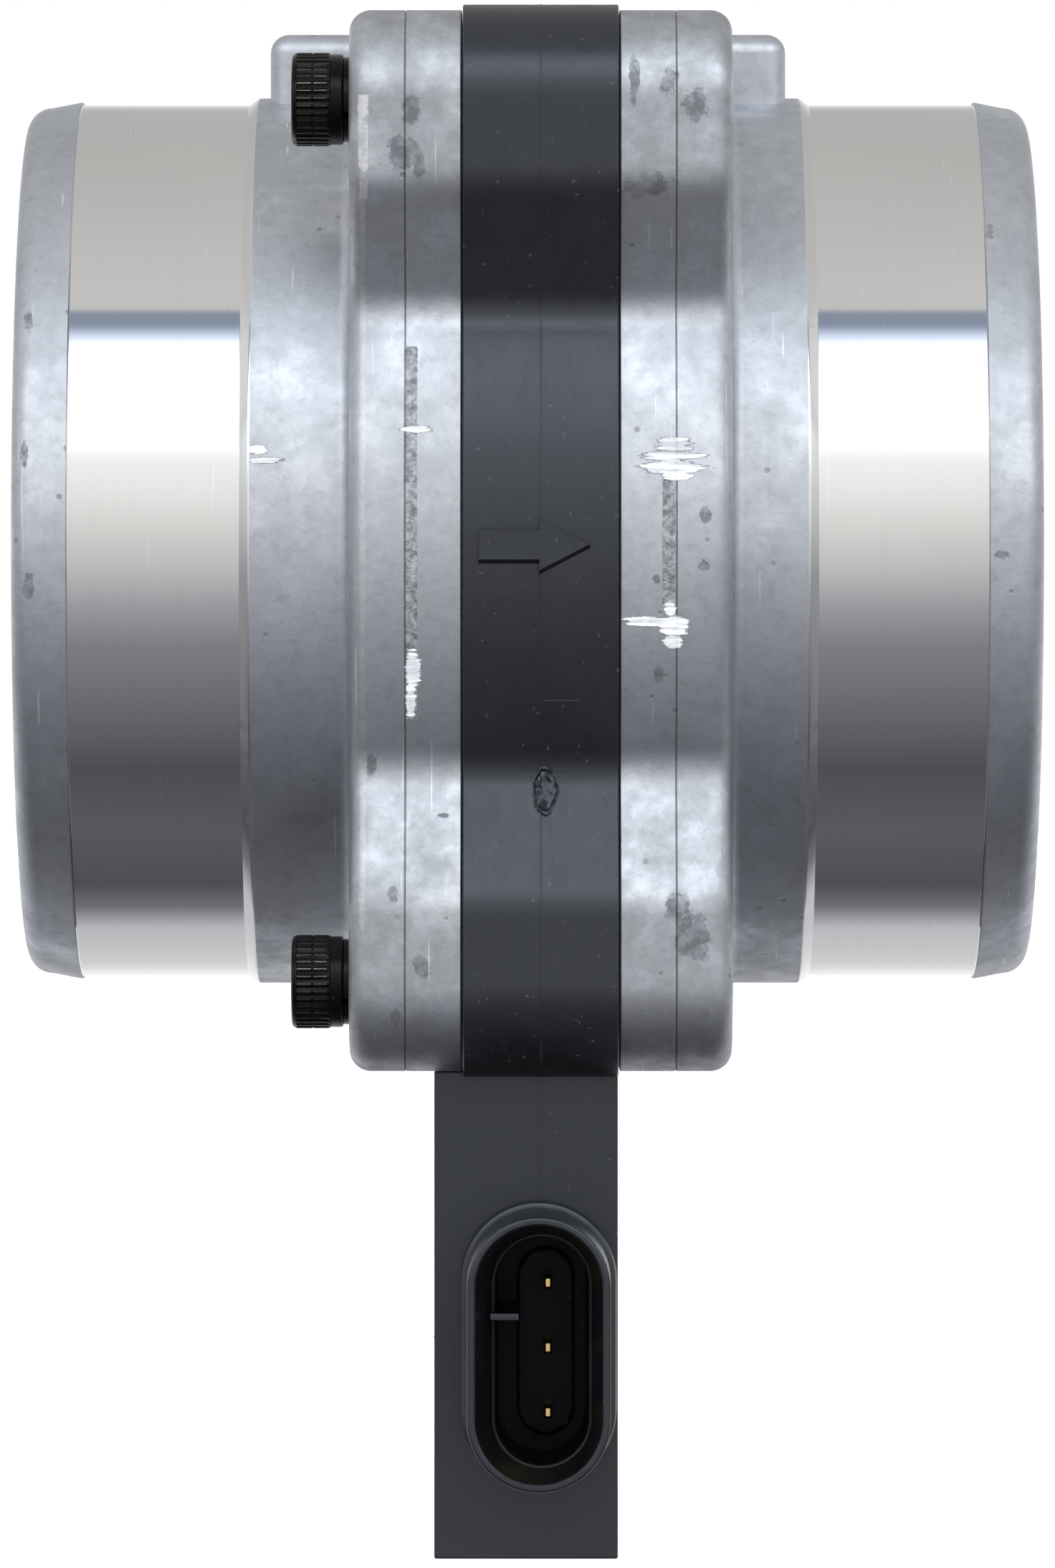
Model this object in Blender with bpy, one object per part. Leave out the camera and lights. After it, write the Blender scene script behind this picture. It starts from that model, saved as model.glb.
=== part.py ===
"""Hot-wire mass air flow sensor for a 3.5 inch intake hose.

Two aluminium hose spigots clamp a moulded sensor ring between their flanges with four socket
head screws. The ring carries an electronics box below the duct, an oval three-pin connector
that faces -Y, and a pylon that holds the sampling tube at the centre of the duct.

Frame: +X is the flow direction, +Z is up, and the electronics box hangs down. The origin is
the centre of the inlet opening, on the flow axis. Lengths are in metres.
"""
import math

import bmesh
import bpy
from mathutils import Vector

MM = 0.001

# ---- Driving dimensions -------------------------------------------------------------------
# Clearances
GAP = 0.3 * MM                      # between neighbours that meet face to face
HEAD_GAP = 0.2 * MM                 # under a screw head and under its washer
FLUSH_STEP = 0.05 * MM              # keeps two faces that would be flush just apart

# Hose spigots
BAND_RADIUS = 44.45 * MM            # the 3.5 inch hose seats on the machined band
SPIGOT_WALL = 6.95 * MM             # from the duct's bore to the band
LIP_STEP = 0.35 * MM                # retaining lip over the band, at the band's side
LIP_TAPER = 0.6 * MM                # the lip gets smaller towards the hose end
LIP_ROUND = 2.3 * MM
NECK_STEP = 0.75 * MM               # as-cast neck over the band
NECK_CHAMFER = 1.0 * MM
NECK_FILLET = 1.2 * MM
MOUTH_CHAMFER = 1.0 * MM
INLET_LIP = 5.5 * MM
INLET_BAND = 17.0 * MM
INLET_NECK = 10.8 * MM
OUTLET_LIP = 5.4 * MM
OUTLET_BAND = 16.8 * MM
OUTLET_NECK = 8.5 * MM

# Flanges and their outline, seen along the flow
FLANGE_THICKNESS = 11.05 * MM
FLANGE_STEP = 4.8 * MM              # round middle of the two long sides, over the neck
FLANGE_EDGE = 2.1 * MM              # round on the outer edge of the casting
WAIST_HALF = 22.5 * MM              # where that round meets the slope of an ear
WAIST_FILLET = 7.0 * MM
SLOPE_RUN = 8.2 * MM                # the slope ends this far from the bolt's level
SLOPE_BEND = 7.0 * MM
BOLT_INSET_Y = 9.0 * MM             # from the round middle's crest to the bolts
BOLT_INSET_Z = 6.6 * MM
EAR_RADIUS = 8.8 * MM
DIP_DEPTH = 1.7 * MM                # shallow dip between the ears, top and bottom
DIP_START = 7.5 * MM                # from the bolt's side to where the dip starts
DIP_RAMP = 6.0 * MM
DIP_BEND = 6.0 * MM

# Bosses on top of the flanges
BOSS_HALF_WIDTH = 9.0 * MM
BOSS_DROP = 0.8 * MM                # below the top of the ears
BOSS_HEIGHT = 11.4 * MM
BOSS_ROUND = 1.9 * MM
INLET_BOSS = 8.6 * MM               # how far it stands off the flange
OUTLET_BOSS = 6.1 * MM

# Seals
SEAL_INSET = 3.0 * MM               # from the duct's bore to the middle of the seal
SEAL_WIDTH = 2.0 * MM
SEAL_GROOVE_DEPTH = 2.0 * MM

# Inlet screen
SCREEN_SEAT_STEP = 1.8 * MM          # seat over the duct's bore
SCREEN_SEAT_DEPTH = 14.9 * MM
SCREEN_THICKNESS = 1.6 * MM
SCREEN_RIM = 1.4 * MM
SCREEN_PITCH = 10.0 * MM
SCREEN_BAR = 1.0 * MM
CLIP_THICKNESS = 1.2 * MM

# Screws, washers and sleeves
SCREW_RADIUS = 2.5 * MM
SCREW_HEAD_STEP = 2.12 * MM         # head over the shank
SCREW_COLLAR_DROP = 0.15 * MM       # smooth part of the head, under the knurl
SCREW_KNURL = 3.8 * MM
SCREW_COLLAR = 1.1 * MM
SCREW_CHAMFER = 0.35 * MM
SOCKET_FLATS = 4.0 * MM
SOCKET_DEPTH = 2.5 * MM
SCREW_ENGAGEMENT = 8.2 * MM         # length inside the outlet flange
WASHER_STEP = 1.8 * MM              # washer over the shank
WASHER_THICKNESS = 0.4 * MM
SLEEVE_WALL = 0.8 * MM

# Moulded ring
RING_WIDTH = 14.9 * MM
RING_PROUD = 0.6 * MM
ARROW_SHAFT = 5.9 * MM
ARROW_SHAFT_HEIGHT = 3.04 * MM
ARROW_HEAD = 5.05 * MM
ARROW_HEAD_HEIGHT = 5.2 * MM
ARROW_START = 6.1 * MM              # before the middle of the ring
ARROW_DROP = 0.4 * MM               # below the flow axis
ARROW_PROUD = 0.6 * MM

# Pylon and sampling tube
PYLON_HALF_WIDTH = 4.0 * MM
PYLON_LENGTH = 11.0 * MM
TUBE_RADIUS = 8.0 * MM
TUBE_BORE_RADIUS = 4.7 * MM
TUBE_LENGTH = 12.4 * MM
PRONG_RADIUS = 0.35 * MM
PRONG_SPREAD = 2.0 * MM
PRONG_TOP = -0.4 * MM
PRONG_SINK = 4.0 * MM               # the prongs reach this far below the tube
ELEMENT_RADIUS = 0.45 * MM
ELEMENT_OFFSET = 2.2 * MM           # each element sits this far from the tube's middle

# Electronics box
BOX_NEAR = -40.0 * MM
BOX_FAR = 38.0 * MM
BOX_HEIGHT = 47.8 * MM
BOX_OVERHANG = 3.05 * MM            # reaches this far under the inlet flange
BOX_WALL = 2.6 * MM
NEAR_WALL = 6.5 * MM                # thick wall that carries the connector
LEDGE = 2.0 * MM
CORNER_ROUND = 3.0 * MM
COVER_THICKNESS = 2.0 * MM
COVER_SEAL_THICKNESS = 0.8 * MM
COVER_SEAL_WIDTH = 1.4 * MM
BOARD_THICKNESS = 0.8 * MM
BOARD_MARGIN = 1.5 * MM
PLATE_THICKNESS = 2.0 * MM
CHIP_SIZE = 12.0 * MM
CHIP_THICKNESS = 1.4 * MM
CHIP_CORNER = 0.4 * MM
CHIP_DRAFT = 0.25 * MM              # how far the package's sides slope
TRANSISTOR_SIZE = 10.0 * MM
TRANSISTOR_THICKNESS = 3.5 * MM

# Heat sink in the duct, beside the pylon
FIN_COUNT = 4
FIN_THICKNESS = 1.2 * MM
FIN_PITCH = 3.2 * MM
FIN_HEIGHT = 7.2 * MM
FIN_LENGTH = 10.4 * MM
FIN_BASE_THICKNESS = 1.8 * MM
FIN_CLEARANCE = 0.7 * MM            # from the fins' base to the duct's wall
FIN_OFFSET = 6.0 * MM               # from the sampling tube's side to the middle fin gap
STEM_WIDTH = 10.0 * MM

# Connector
SHROUD_OFFSET = 0.2 * MM            # before the middle of the ring
SHROUD_DROP = 26.5 * MM             # below the top of the box
SHROUD_WIDTH = 14.0 * MM
SHROUD_HEIGHT = 26.8 * MM
SHROUD_REACH = 16.0 * MM
COLLAR_GROWTH = 0.65 * MM
COLLAR_REACH = 3.0 * MM
CAVITY_OFFSET = 0.3 * MM            # from the shroud's middle, downstream
CAVITY_WIDTH = 9.1 * MM
CAVITY_HEIGHT = 22.2 * MM
MOUTH_STEP = 1.4 * MM               # wide entry in front of the cavity
MOUTH_WALL = 0.9 * MM
SOCKET_FLOOR = 3.0 * MM
KEY_RISE = 3.5 * MM                 # keying rib, above the middle pin
KEY_LENGTH = 2.3 * MM
KEY_THICKNESS = 0.7 * MM
PIN_PITCH = 6.35 * MM
PIN_WIDTH = 1.5 * MM
PIN_THICKNESS = 0.8 * MM
PIN_TIP_DEPTH = 10.0 * MM           # behind the rim
PIN_TAPER = 1.2 * MM
PIN_CORNER = 0.12 * MM
PIN_TIP_SHARE = 0.5                 # the tip's width and thickness, over the pin's
PIN_TAIL = 5.0 * MM                 # over the circuit board

# Facets
ROUND_STEPS = 48
HOLE_STEPS = 16
ARC_STEPS = 5                       # on a quarter turn

# ---- Radii and stations, worked out from the above -----------------------------------------
BORE_RADIUS = BAND_RADIUS - SPIGOT_WALL
LIP_RADIUS = BAND_RADIUS + LIP_STEP
NECK_RADIUS = BAND_RADIUS + NECK_STEP
FLANGE_RADIUS = NECK_RADIUS + FLANGE_STEP
SEAL_RADIUS = BORE_RADIUS + SEAL_INSET
SCREEN_SEAT_RADIUS = BORE_RADIUS + SCREEN_SEAT_STEP
BOLT_Y = FLANGE_RADIUS - BOLT_INSET_Y
BOLT_Z = FLANGE_RADIUS - BOLT_INSET_Z
BOSS_TOP = BOLT_Z + EAR_RADIUS - BOSS_DROP
SCREW_HEAD_RADIUS = SCREW_RADIUS + SCREW_HEAD_STEP
SCREW_COLLAR_RADIUS = SCREW_HEAD_RADIUS - SCREW_COLLAR_DROP
WASHER_RADIUS = SCREW_RADIUS + WASHER_STEP
PRONG_FOOT = -(TUBE_RADIUS + PRONG_SINK)
FIN_MIDDLE_Y = TUBE_RADIUS + FIN_OFFSET
FIN_BASE_HALF = ((FIN_COUNT - 1) * FIN_PITCH + FIN_THICKNESS) / 2 + FLUSH_STEP
FIN_BASE_Z = FIN_CLEARANCE - math.sqrt(BORE_RADIUS ** 2 - (FIN_MIDDLE_Y + FIN_BASE_HALF) ** 2)
INLET_FLANGE_X = INLET_LIP + INLET_BAND + INLET_NECK
INLET_FACE_X = INLET_FLANGE_X + FLANGE_THICKNESS
RING_START = INLET_FACE_X + GAP
RING_END = RING_START + RING_WIDTH
RING_MIDDLE = (RING_START + RING_END) / 2
OUTLET_FACE_X = RING_END + GAP
TOTAL_LENGTH = OUTLET_FACE_X + FLANGE_THICKNESS + OUTLET_NECK + OUTLET_BAND + OUTLET_LIP
BOLTS = [(side * BOLT_Y, level * BOLT_Z) for side in (-1, 1) for level in (-1, 1)]
CLEAR_RADIUS = SCREW_RADIUS + GAP
SLEEVE_RADIUS = CLEAR_RADIUS + SLEEVE_WALL
FLANGE_BOTTOM = -(BOLT_Z + EAR_RADIUS)
BOX_START = RING_START - BOX_OVERHANG
BOX_END = RING_END - FLUSH_STEP
BOX_TOP = FLANGE_BOTTOM - GAP
BOX_BOTTOM = BOX_TOP - BOX_HEIGHT
SHROUD_Z = BOX_TOP - SHROUD_DROP
RECESS_DEPTH = COVER_THICKNESS + COVER_SEAL_THICKNESS + 2 * HEAD_GAP
LEDGE_X = BOX_START + RECESS_DEPTH
PLATE_END = BOX_END - BOX_WALL - GAP
PLATE_START = PLATE_END - PLATE_THICKNESS
BOARD_END = PLATE_START - GAP
BOARD_START = BOARD_END - BOARD_THICKNESS
SHROUD_X = RING_MIDDLE - SHROUD_OFFSET
CAVITY_X = SHROUD_X + CAVITY_OFFSET
RIM_Y = BOX_NEAR - SHROUD_REACH
SOCKET_FLOOR_Y = BOX_NEAR + NEAR_WALL - SOCKET_FLOOR
PIN_X = BOARD_START - GAP - PIN_THICKNESS / 2
TRAY_NEAR = BOX_NEAR + NEAR_WALL


# ---- Helpers -------------------------------------------------------------------------------
def clear_scene():
    for old in list(bpy.data.objects):
        bpy.data.objects.remove(old, do_unlink=True)


def finish_piece(name, shape, look=None):
    """Turn a bmesh into an object. Without a look it is a guide that only shapes others."""
    bmesh.ops.recalc_face_normals(shape, faces=shape.faces)
    mesh = bpy.data.meshes.new(name)
    shape.to_mesh(mesh)
    shape.free()
    mesh.shade_smooth()
    mesh.set_sharp_from_angle(angle=math.radians(32))
    piece = bpy.data.objects.new(name, mesh)
    bpy.context.scene.collection.objects.link(piece)
    if look is None:
        piece.hide_render = True
        piece.display_type = "WIRE"
    else:
        mesh.materials.append(make_material(name, *look))
    return piece


def make_material(name, colour, roughness, metallic):
    material = bpy.data.materials.new(name)
    material.use_nodes = True
    shader = material.node_tree.nodes["Principled BSDF"]
    shader.inputs["Base Color"].default_value = (*colour, 1.0)
    shader.inputs["Roughness"].default_value = roughness
    shader.inputs["Metallic"].default_value = metallic
    material.diffuse_color = (*colour, 1.0)
    return material


def combine(piece, other, operation):
    """Boolean step. EXACT leaves a face open in the thin annular cuts of these castings."""
    step = piece.modifiers.new(other.name, "BOOLEAN")
    step.operation = operation
    step.solver = "MANIFOLD"
    step.object = other


def add(piece, *others):
    for other in others:
        combine(piece, other, "UNION")


def cut(piece, *others):
    for other in others:
        combine(piece, other, "DIFFERENCE")


def turned(profile, steps=ROUND_STEPS, ring=False, shape=None, centre=(0.0, 0.0)):
    """Turn (x, radius) points about the X direction, into a capped solid or a closed ring."""
    shape = shape or bmesh.new()
    rows = []
    for x, radius in profile:
        turns = [2 * math.pi * (step + 0.5) / steps for step in range(steps)]
        rows.append([shape.verts.new((x, centre[0] + radius * math.cos(turn),
                                      centre[1] + radius * math.sin(turn))) for turn in turns])
    join_rows(shape, rows)
    if ring:
        join_rows(shape, [rows[-1], rows[0]])
    else:
        shape.faces.new(rows[0])
        shape.faces.new(rows[-1])
    return shape


def join_rows(shape, rows):
    count = len(rows[0])
    for first, second in zip(rows, rows[1:]):
        for index in range(count):
            after = (index + 1) % count
            shape.faces.new((first[index], first[after], second[after], second[index]))


def rod(radius, start, end, steps=HOLE_STEPS, shape=None, centre=(0.0, 0.0)):
    return turned([(start, radius), (end, radius)], steps, shape=shape, centre=centre)


def arc(centre, radius, start, end, steps):
    """Points on an arc in a plane, angles in degrees."""
    points = []
    for step in range(steps + 1):
        turn = math.radians(start + (end - start) * step / steps)
        points.append((centre[0] + radius * math.cos(turn), centre[1] + radius * math.sin(turn)))
    return points


def rounded(corners):
    """A closed outline through (u, v, radius) corners, with each corner filleted."""
    outline = []
    for index, (u, v, radius) in enumerate(corners):
        here = Vector((u, v))
        if radius == 0.0:
            outline.append((u, v))
            continue
        before = (Vector(corners[index - 1][:2]) - here).normalized()
        after = (Vector(corners[(index + 1) % len(corners)][:2]) - here).normalized()
        half = before.angle(after) / 2
        reach = radius / math.tan(half)
        middle = here + (before + after).normalized() * (radius / math.sin(half))
        first = here + before * reach - middle
        sweep = first.angle_signed(here + after * reach - middle)
        steps = max(2, round(abs(sweep) / math.radians(90) * ARC_STEPS))
        for step in range(steps + 1):
            turn = -sweep * step / steps
            outline.append((middle.x + first.x * math.cos(turn) - first.y * math.sin(turn),
                            middle.y + first.x * math.sin(turn) + first.y * math.cos(turn)))
    return outline


def grown(outline, amount):
    """The outline moved outwards by an amount, or inwards by a negative one."""
    count = len(outline)
    area = sum(outline[i - 1][0] * outline[i][1] - outline[i][0] * outline[i - 1][1] for i in range(count))
    side = 1 if area > 0 else -1
    moved = []
    for index in range(count):
        here = Vector(outline[index])
        first = (here - Vector(outline[index - 1])).normalized()
        second = (Vector(outline[(index + 1) % count]) - here).normalized()
        first_out = Vector((first.y, -first.x)) * side
        second_out = Vector((second.y, -second.x)) * side
        spot = here + (first_out + second_out) * (amount / (1 + first_out.dot(second_out)))
        moved.append((spot.x, spot.y))
    return moved


AXES = {
    "X": lambda level, u, v: (level, u, v),
    "Y": lambda level, u, v: (u, level, v),
    "Z": lambda level, u, v: (u, v, level),
}


def layered(layers, axis="X", shape=None):
    """A closed solid through (level, outline) layers that all have the same number of points."""
    shape = shape or bmesh.new()
    place = AXES[axis]
    rows = [[shape.verts.new(place(level, u, v)) for u, v in outline] for level, outline in layers]
    join_rows(shape, rows)
    caps = [shape.faces.new(rows[0]), shape.faces.new(rows[-1])]
    for cap in caps:
        cap.normal_update()
    bmesh.ops.triangulate(shape, faces=caps)
    return shape


def block(low, high, shape=None):
    """A box between two corners."""
    outline = [(low[1], low[2]), (high[1], low[2]), (high[1], high[2]), (low[1], high[2])]
    return layered([(low[0], outline), (high[0], outline)], "X", shape)


def box_outline(low_u, high_u, low_v, high_v, radius):
    return rounded([(low_u, low_v, radius), (high_u, low_v, radius),
                    (high_u, high_v, radius), (low_u, high_v, radius)])


def stadium(middle_u, middle_v, width, height):
    """An upright oval with round ends."""
    radius = width / 2
    straight = height / 2 - radius
    steps = 2 * ARC_STEPS
    return (arc((middle_u, middle_v + straight), radius, 0, 180, steps)
            + arc((middle_u, middle_v - straight), radius, 180, 360, steps))


# ---- Flange outline ------------------------------------------------------------------------
def flange_outline(grow=0.0):
    """The castings' outline in (y, z): a round middle, four ears and shallow dips."""
    ear_y = BOLT_Y + EAR_RADIUS
    ear_z = BOLT_Z + EAR_RADIUS
    waist_y = math.sqrt(FLANGE_RADIUS ** 2 - WAIST_HALF ** 2)
    waist_turn = math.degrees(math.asin(WAIST_HALF / FLANGE_RADIUS))
    side = [
        (BOLT_Y - DIP_START - DIP_RAMP, -(ear_z - DIP_DEPTH), DIP_BEND),
        (BOLT_Y - DIP_START, -ear_z, DIP_BEND),
        (ear_y, -ear_z, EAR_RADIUS),
        (ear_y, -(BOLT_Z - SLOPE_RUN), SLOPE_BEND),
        (waist_y, -WAIST_HALF, WAIST_FILLET),
    ]
    middle = arc((0, 0), FLANGE_RADIUS, -waist_turn, waist_turn, 2 * ARC_STEPS)[1:-1]
    right = side + [(y, z, 0.0) for y, z in middle] + [(y, -z, r) for y, z, r in reversed(side)]
    left = [(-y, -z, r) for y, z, r in right]
    return grown(rounded(right + left), grow)


# ---- Castings ------------------------------------------------------------------------------
def housing(name, place, lip, band, neck, boss, screw_holes, seat):
    """One hose spigot. place() turns a distance from the hose end into an X position."""
    flange = lip + band + neck
    face = flange + FLANGE_THICKNESS
    edge_radius = LIP_RADIUS - LIP_TAPER
    corner = arc((LIP_ROUND, edge_radius - LIP_ROUND), LIP_ROUND, 180, 90, 3)
    inside = flange + FLANGE_THICKNESS / 2
    profile = corner + [
        (lip, LIP_RADIUS), (lip, BAND_RADIUS), (lip + band, BAND_RADIUS),
        (lip + band + NECK_CHAMFER, NECK_RADIUS), (flange - NECK_FILLET, NECK_RADIUS),
        (flange + NECK_FILLET, NECK_RADIUS + 2 * NECK_FILLET), (inside, NECK_RADIUS)]
    spigot = turned([(place(s), r) for s, r in profile])
    piece = finish_piece(name, spigot, ((0.62, 0.64, 0.67), 0.42, 1.0))

    layers = []
    for step in range(4):
        turn = math.radians(30 * step)
        inset = FLANGE_EDGE * (1 - math.sin(turn))
        layers.append((place(flange + FLANGE_EDGE * (1 - math.cos(turn))), flange_outline(-inset)))
    layers.append((place(face), flange_outline()))
    parts = [finish_piece(name + "_flange", layered(layers))]

    boss_end = flange + FLANGE_THICKNESS / 3
    low = BOSS_TOP - BOSS_HEIGHT
    outline = rounded([(place(flange - boss), low, 0.0), (place(flange - boss), BOSS_TOP, BOSS_ROUND),
                       (place(boss_end), BOSS_TOP, 0.0), (place(boss_end), low, 0.0)])
    levels = [(-BOSS_HALF_WIDTH, outline), (BOSS_HALF_WIDTH, outline)]
    parts.append(finish_piece(name + "_boss", layered(levels, "Y")))
    add(piece, *parts)

    past = face + BORE_RADIUS
    inner = SEAL_RADIUS - SEAL_WIDTH / 2 - GAP
    outer = SEAL_RADIUS + SEAL_WIDTH / 2 + GAP
    floor = face - SEAL_GROOVE_DEPTH
    groove = [(floor, inner), (floor, outer), (past, outer), (past, inner)]
    cuts = [finish_piece(name + "_groove", turned([(place(s), r) for s, r in groove], ring=True))]

    if seat:
        bore = [(-past, SCREEN_SEAT_RADIUS), (SCREEN_SEAT_DEPTH, SCREEN_SEAT_RADIUS),
                (SCREEN_SEAT_DEPTH, BORE_RADIUS), (past, BORE_RADIUS)]
    else:
        wide = BORE_RADIUS + 2 * MOUTH_CHAMFER
        bore = [(-past, wide), (-MOUTH_CHAMFER, wide), (MOUTH_CHAMFER, BORE_RADIUS), (past, BORE_RADIUS)]
    cuts.append(finish_piece(name + "_bore", turned([(place(s), r) for s, r in bore])))

    holes = bmesh.new()
    for spot in BOLTS:
        rod(CLEAR_RADIUS, place(screw_holes[0]), place(screw_holes[1]), shape=holes, centre=spot)
    cut(piece, *cuts, finish_piece(name + "_holes", holes))
    return piece


def inlet_housing():
    through = (INLET_FLANGE_X - BORE_RADIUS, INLET_FACE_X + BORE_RADIUS)
    return housing("inlet_housing", lambda s: s, INLET_LIP, INLET_BAND, INLET_NECK,
                   INLET_BOSS, through, seat=True)


def outlet_housing():
    face = TOTAL_LENGTH - OUTLET_FACE_X
    blind = (face - SCREW_ENGAGEMENT - 2 * GAP, face + BORE_RADIUS)
    return housing("outlet_housing", lambda s: TOTAL_LENGTH - s, OUTLET_LIP, OUTLET_BAND, OUTLET_NECK,
                   OUTLET_BOSS, blind, seat=False)


# ---- Moulded ring with its box, connector, pylon and sampling tube --------------------------
def sensor_body():
    ring = layered([(RING_START, flange_outline(RING_PROUD)), (RING_END, flange_outline(RING_PROUD))])
    piece = finish_piece("sensor_body", ring, ((0.035, 0.036, 0.04), 0.5, 0.0))
    add(piece, *electronics_box(), *connector_outside(), flow_arrow())
    cut(piece, finish_piece("duct_guide", rod(BORE_RADIUS, RING_START - BOX_OVERHANG,
                                              RING_END + BOX_OVERHANG, ROUND_STEPS)))
    add(piece, pylon(), finish_piece("tube_guide", rod(
        TUBE_RADIUS, RING_MIDDLE - TUBE_LENGTH / 2, RING_MIDDLE + TUBE_LENGTH / 2, 32)))
    cut(piece, finish_piece("sample_bore", rod(
        TUBE_BORE_RADIUS, RING_MIDDLE - TUBE_LENGTH, RING_MIDDLE + TUBE_LENGTH, 32)))
    cut(piece, sleeve_holes(), box_hollow(), heat_sink_slot(), prong_holes())
    cut(piece, *connector_inside())
    add(piece, keying_rib())
    return piece


def electronics_box():
    """The box below the duct, and the root that joins it to the ring."""
    yield finish_piece("box_guide", block((BOX_START, BOX_NEAR, BOX_BOTTOM), (BOX_END, BOX_FAR, BOX_TOP)))
    root_top = -(FLANGE_RADIUS + BORE_RADIUS) / 2
    yield finish_piece("box_root", block((RING_START + FLUSH_STEP, BOX_NEAR + FLUSH_STEP, BOX_TOP - FLUSH_STEP),
                                         (BOX_END - FLUSH_STEP, BOX_FAR - FLUSH_STEP, root_top)))


def connector_outside():
    inside = BOX_NEAR + NEAR_WALL / 2
    shroud = stadium(SHROUD_X, SHROUD_Z, SHROUD_WIDTH, SHROUD_HEIGHT)
    collar = stadium(SHROUD_X, SHROUD_Z, SHROUD_WIDTH + 2 * COLLAR_GROWTH,
                     SHROUD_HEIGHT + 2 * COLLAR_GROWTH)
    yield finish_piece("collar_guide", layered([(BOX_NEAR - COLLAR_REACH, collar), (inside, collar)], "Y"))
    inner = inside + FLUSH_STEP
    yield finish_piece("shroud_guide", layered([(RIM_Y, shroud), (inner, shroud)], "Y"))


def connector_inside():
    ledge = RIM_Y + MOUTH_STEP
    mouth = stadium(SHROUD_X, SHROUD_Z, SHROUD_WIDTH - 2 * MOUTH_WALL, SHROUD_HEIGHT - 2 * MOUTH_WALL)
    cavity = stadium(CAVITY_X, SHROUD_Z, CAVITY_WIDTH, CAVITY_HEIGHT)
    yield finish_piece("mouth_guide", layered([(RIM_Y - MOUTH_STEP, mouth), (ledge, mouth)], "Y"))
    yield finish_piece("cavity_guide", layered([(RIM_Y - MOUTH_STEP, cavity), (SOCKET_FLOOR_Y, cavity)], "Y"))
    slots = bmesh.new()
    reach = Vector((PIN_THICKNESS / 2 + GAP, 0, PIN_WIDTH / 2 + GAP))
    for level in pin_levels():
        low = Vector((PIN_X, SOCKET_FLOOR_Y - SOCKET_FLOOR / 2, level)) - reach
        high = Vector((PIN_X, TRAY_NEAR + LEDGE + SOCKET_FLOOR / 2, level)) + reach
        block(low, high, slots)
    yield finish_piece("pin_slots", slots)


def keying_rib():
    wall = CAVITY_X - CAVITY_WIDTH / 2
    level = SHROUD_Z + KEY_RISE
    low = (wall - KEY_THICKNESS, RIM_Y + 2 * MOUTH_STEP, level - KEY_THICKNESS / 2)
    high = (wall + KEY_LENGTH, SOCKET_FLOOR_Y + KEY_THICKNESS, level + KEY_THICKNESS / 2)
    return finish_piece("keying_rib", block(low, high))


def flow_arrow():
    """Raised arrow that shows the flow direction."""
    tail = RING_MIDDLE - ARROW_START
    neck = tail + ARROW_SHAFT
    shaft = ARROW_SHAFT_HEIGHT / 2
    head = ARROW_HEAD_HEIGHT / 2
    corners = [(tail, -shaft), (neck, -shaft), (neck, -head), (neck + ARROW_HEAD, 0.0),
               (neck, head), (neck, shaft), (tail, shaft)]
    outline = [(x, z - ARROW_DROP) for x, z in corners]
    top = FLANGE_RADIUS + RING_PROUD
    return finish_piece("arrow_guide", layered(
        [(-top - ARROW_PROUD, outline), (-top + 3 * ARROW_PROUD, outline)], "Y"))


def pylon():
    """Strut with round leading and trailing edges, from the ring up to the sampling tube."""
    outline = [(u, v) for v, u in stadium(0.0, RING_MIDDLE, 2 * PYLON_HALF_WIDTH, PYLON_LENGTH)]
    levels = [(-BORE_RADIUS - TUBE_RADIUS / 2, outline),
              (-(TUBE_RADIUS + TUBE_BORE_RADIUS) / 2, outline)]
    return finish_piece("pylon_guide", layered(levels, "Z"))


def sleeve_holes():
    holes = bmesh.new()
    for spot in BOLTS:
        rod(SLEEVE_RADIUS + GAP, RING_START - EAR_RADIUS, RING_END + EAR_RADIUS, shape=holes, centre=spot)
    return finish_piece("sleeve_holes", holes)


def tray_outline(inset):
    """Outline of the box's hollow, an amount inside the recess for the cover."""
    return box_outline(TRAY_NEAR + inset, BOX_FAR - BOX_WALL - inset,
                       BOX_BOTTOM + BOX_WALL + inset, BOX_TOP - BOX_WALL - inset, CORNER_ROUND)


def recess_outline():
    return box_outline(BOX_NEAR + BOX_WALL, BOX_FAR - BOX_WALL,
                       BOX_BOTTOM + BOX_WALL, BOX_TOP - BOX_WALL, CORNER_ROUND)


def box_hollow():
    piece = finish_piece("recess_guide", layered(
        [(BOX_START - BOX_WALL, recess_outline()), (LEDGE_X, recess_outline())]))
    deep = tray_outline(LEDGE)
    add(piece, finish_piece("tray_guide", layered(
        [(LEDGE_X - COVER_SEAL_THICKNESS, deep), (PLATE_END + GAP, deep)])))
    return piece


def heat_sink_slot():
    low = (PLATE_START - GAP, FIN_MIDDLE_Y - STEM_WIDTH / 2 - GAP, BOX_TOP - 2 * BOX_WALL - LEDGE)
    high = (PLATE_END + GAP - FLUSH_STEP, FIN_MIDDLE_Y + STEM_WIDTH / 2 + GAP, FIN_BASE_Z)
    return finish_piece("stem_slot", block(low, high))


def prong_holes():
    holes = bmesh.new()
    for x, y in prong_spots():
        outline = arc((x, y), PRONG_RADIUS + GAP, 0, 315, 7)
        layered([(PRONG_FOOT - GAP, outline), (-TUBE_BORE_RADIUS / 2, outline)], "Z", holes)
    return finish_piece("prong_holes", holes)


# ---- Fasteners -----------------------------------------------------------------------------
STEEL_BLACK = ((0.03, 0.03, 0.032), 0.38, 0.8)


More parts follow.
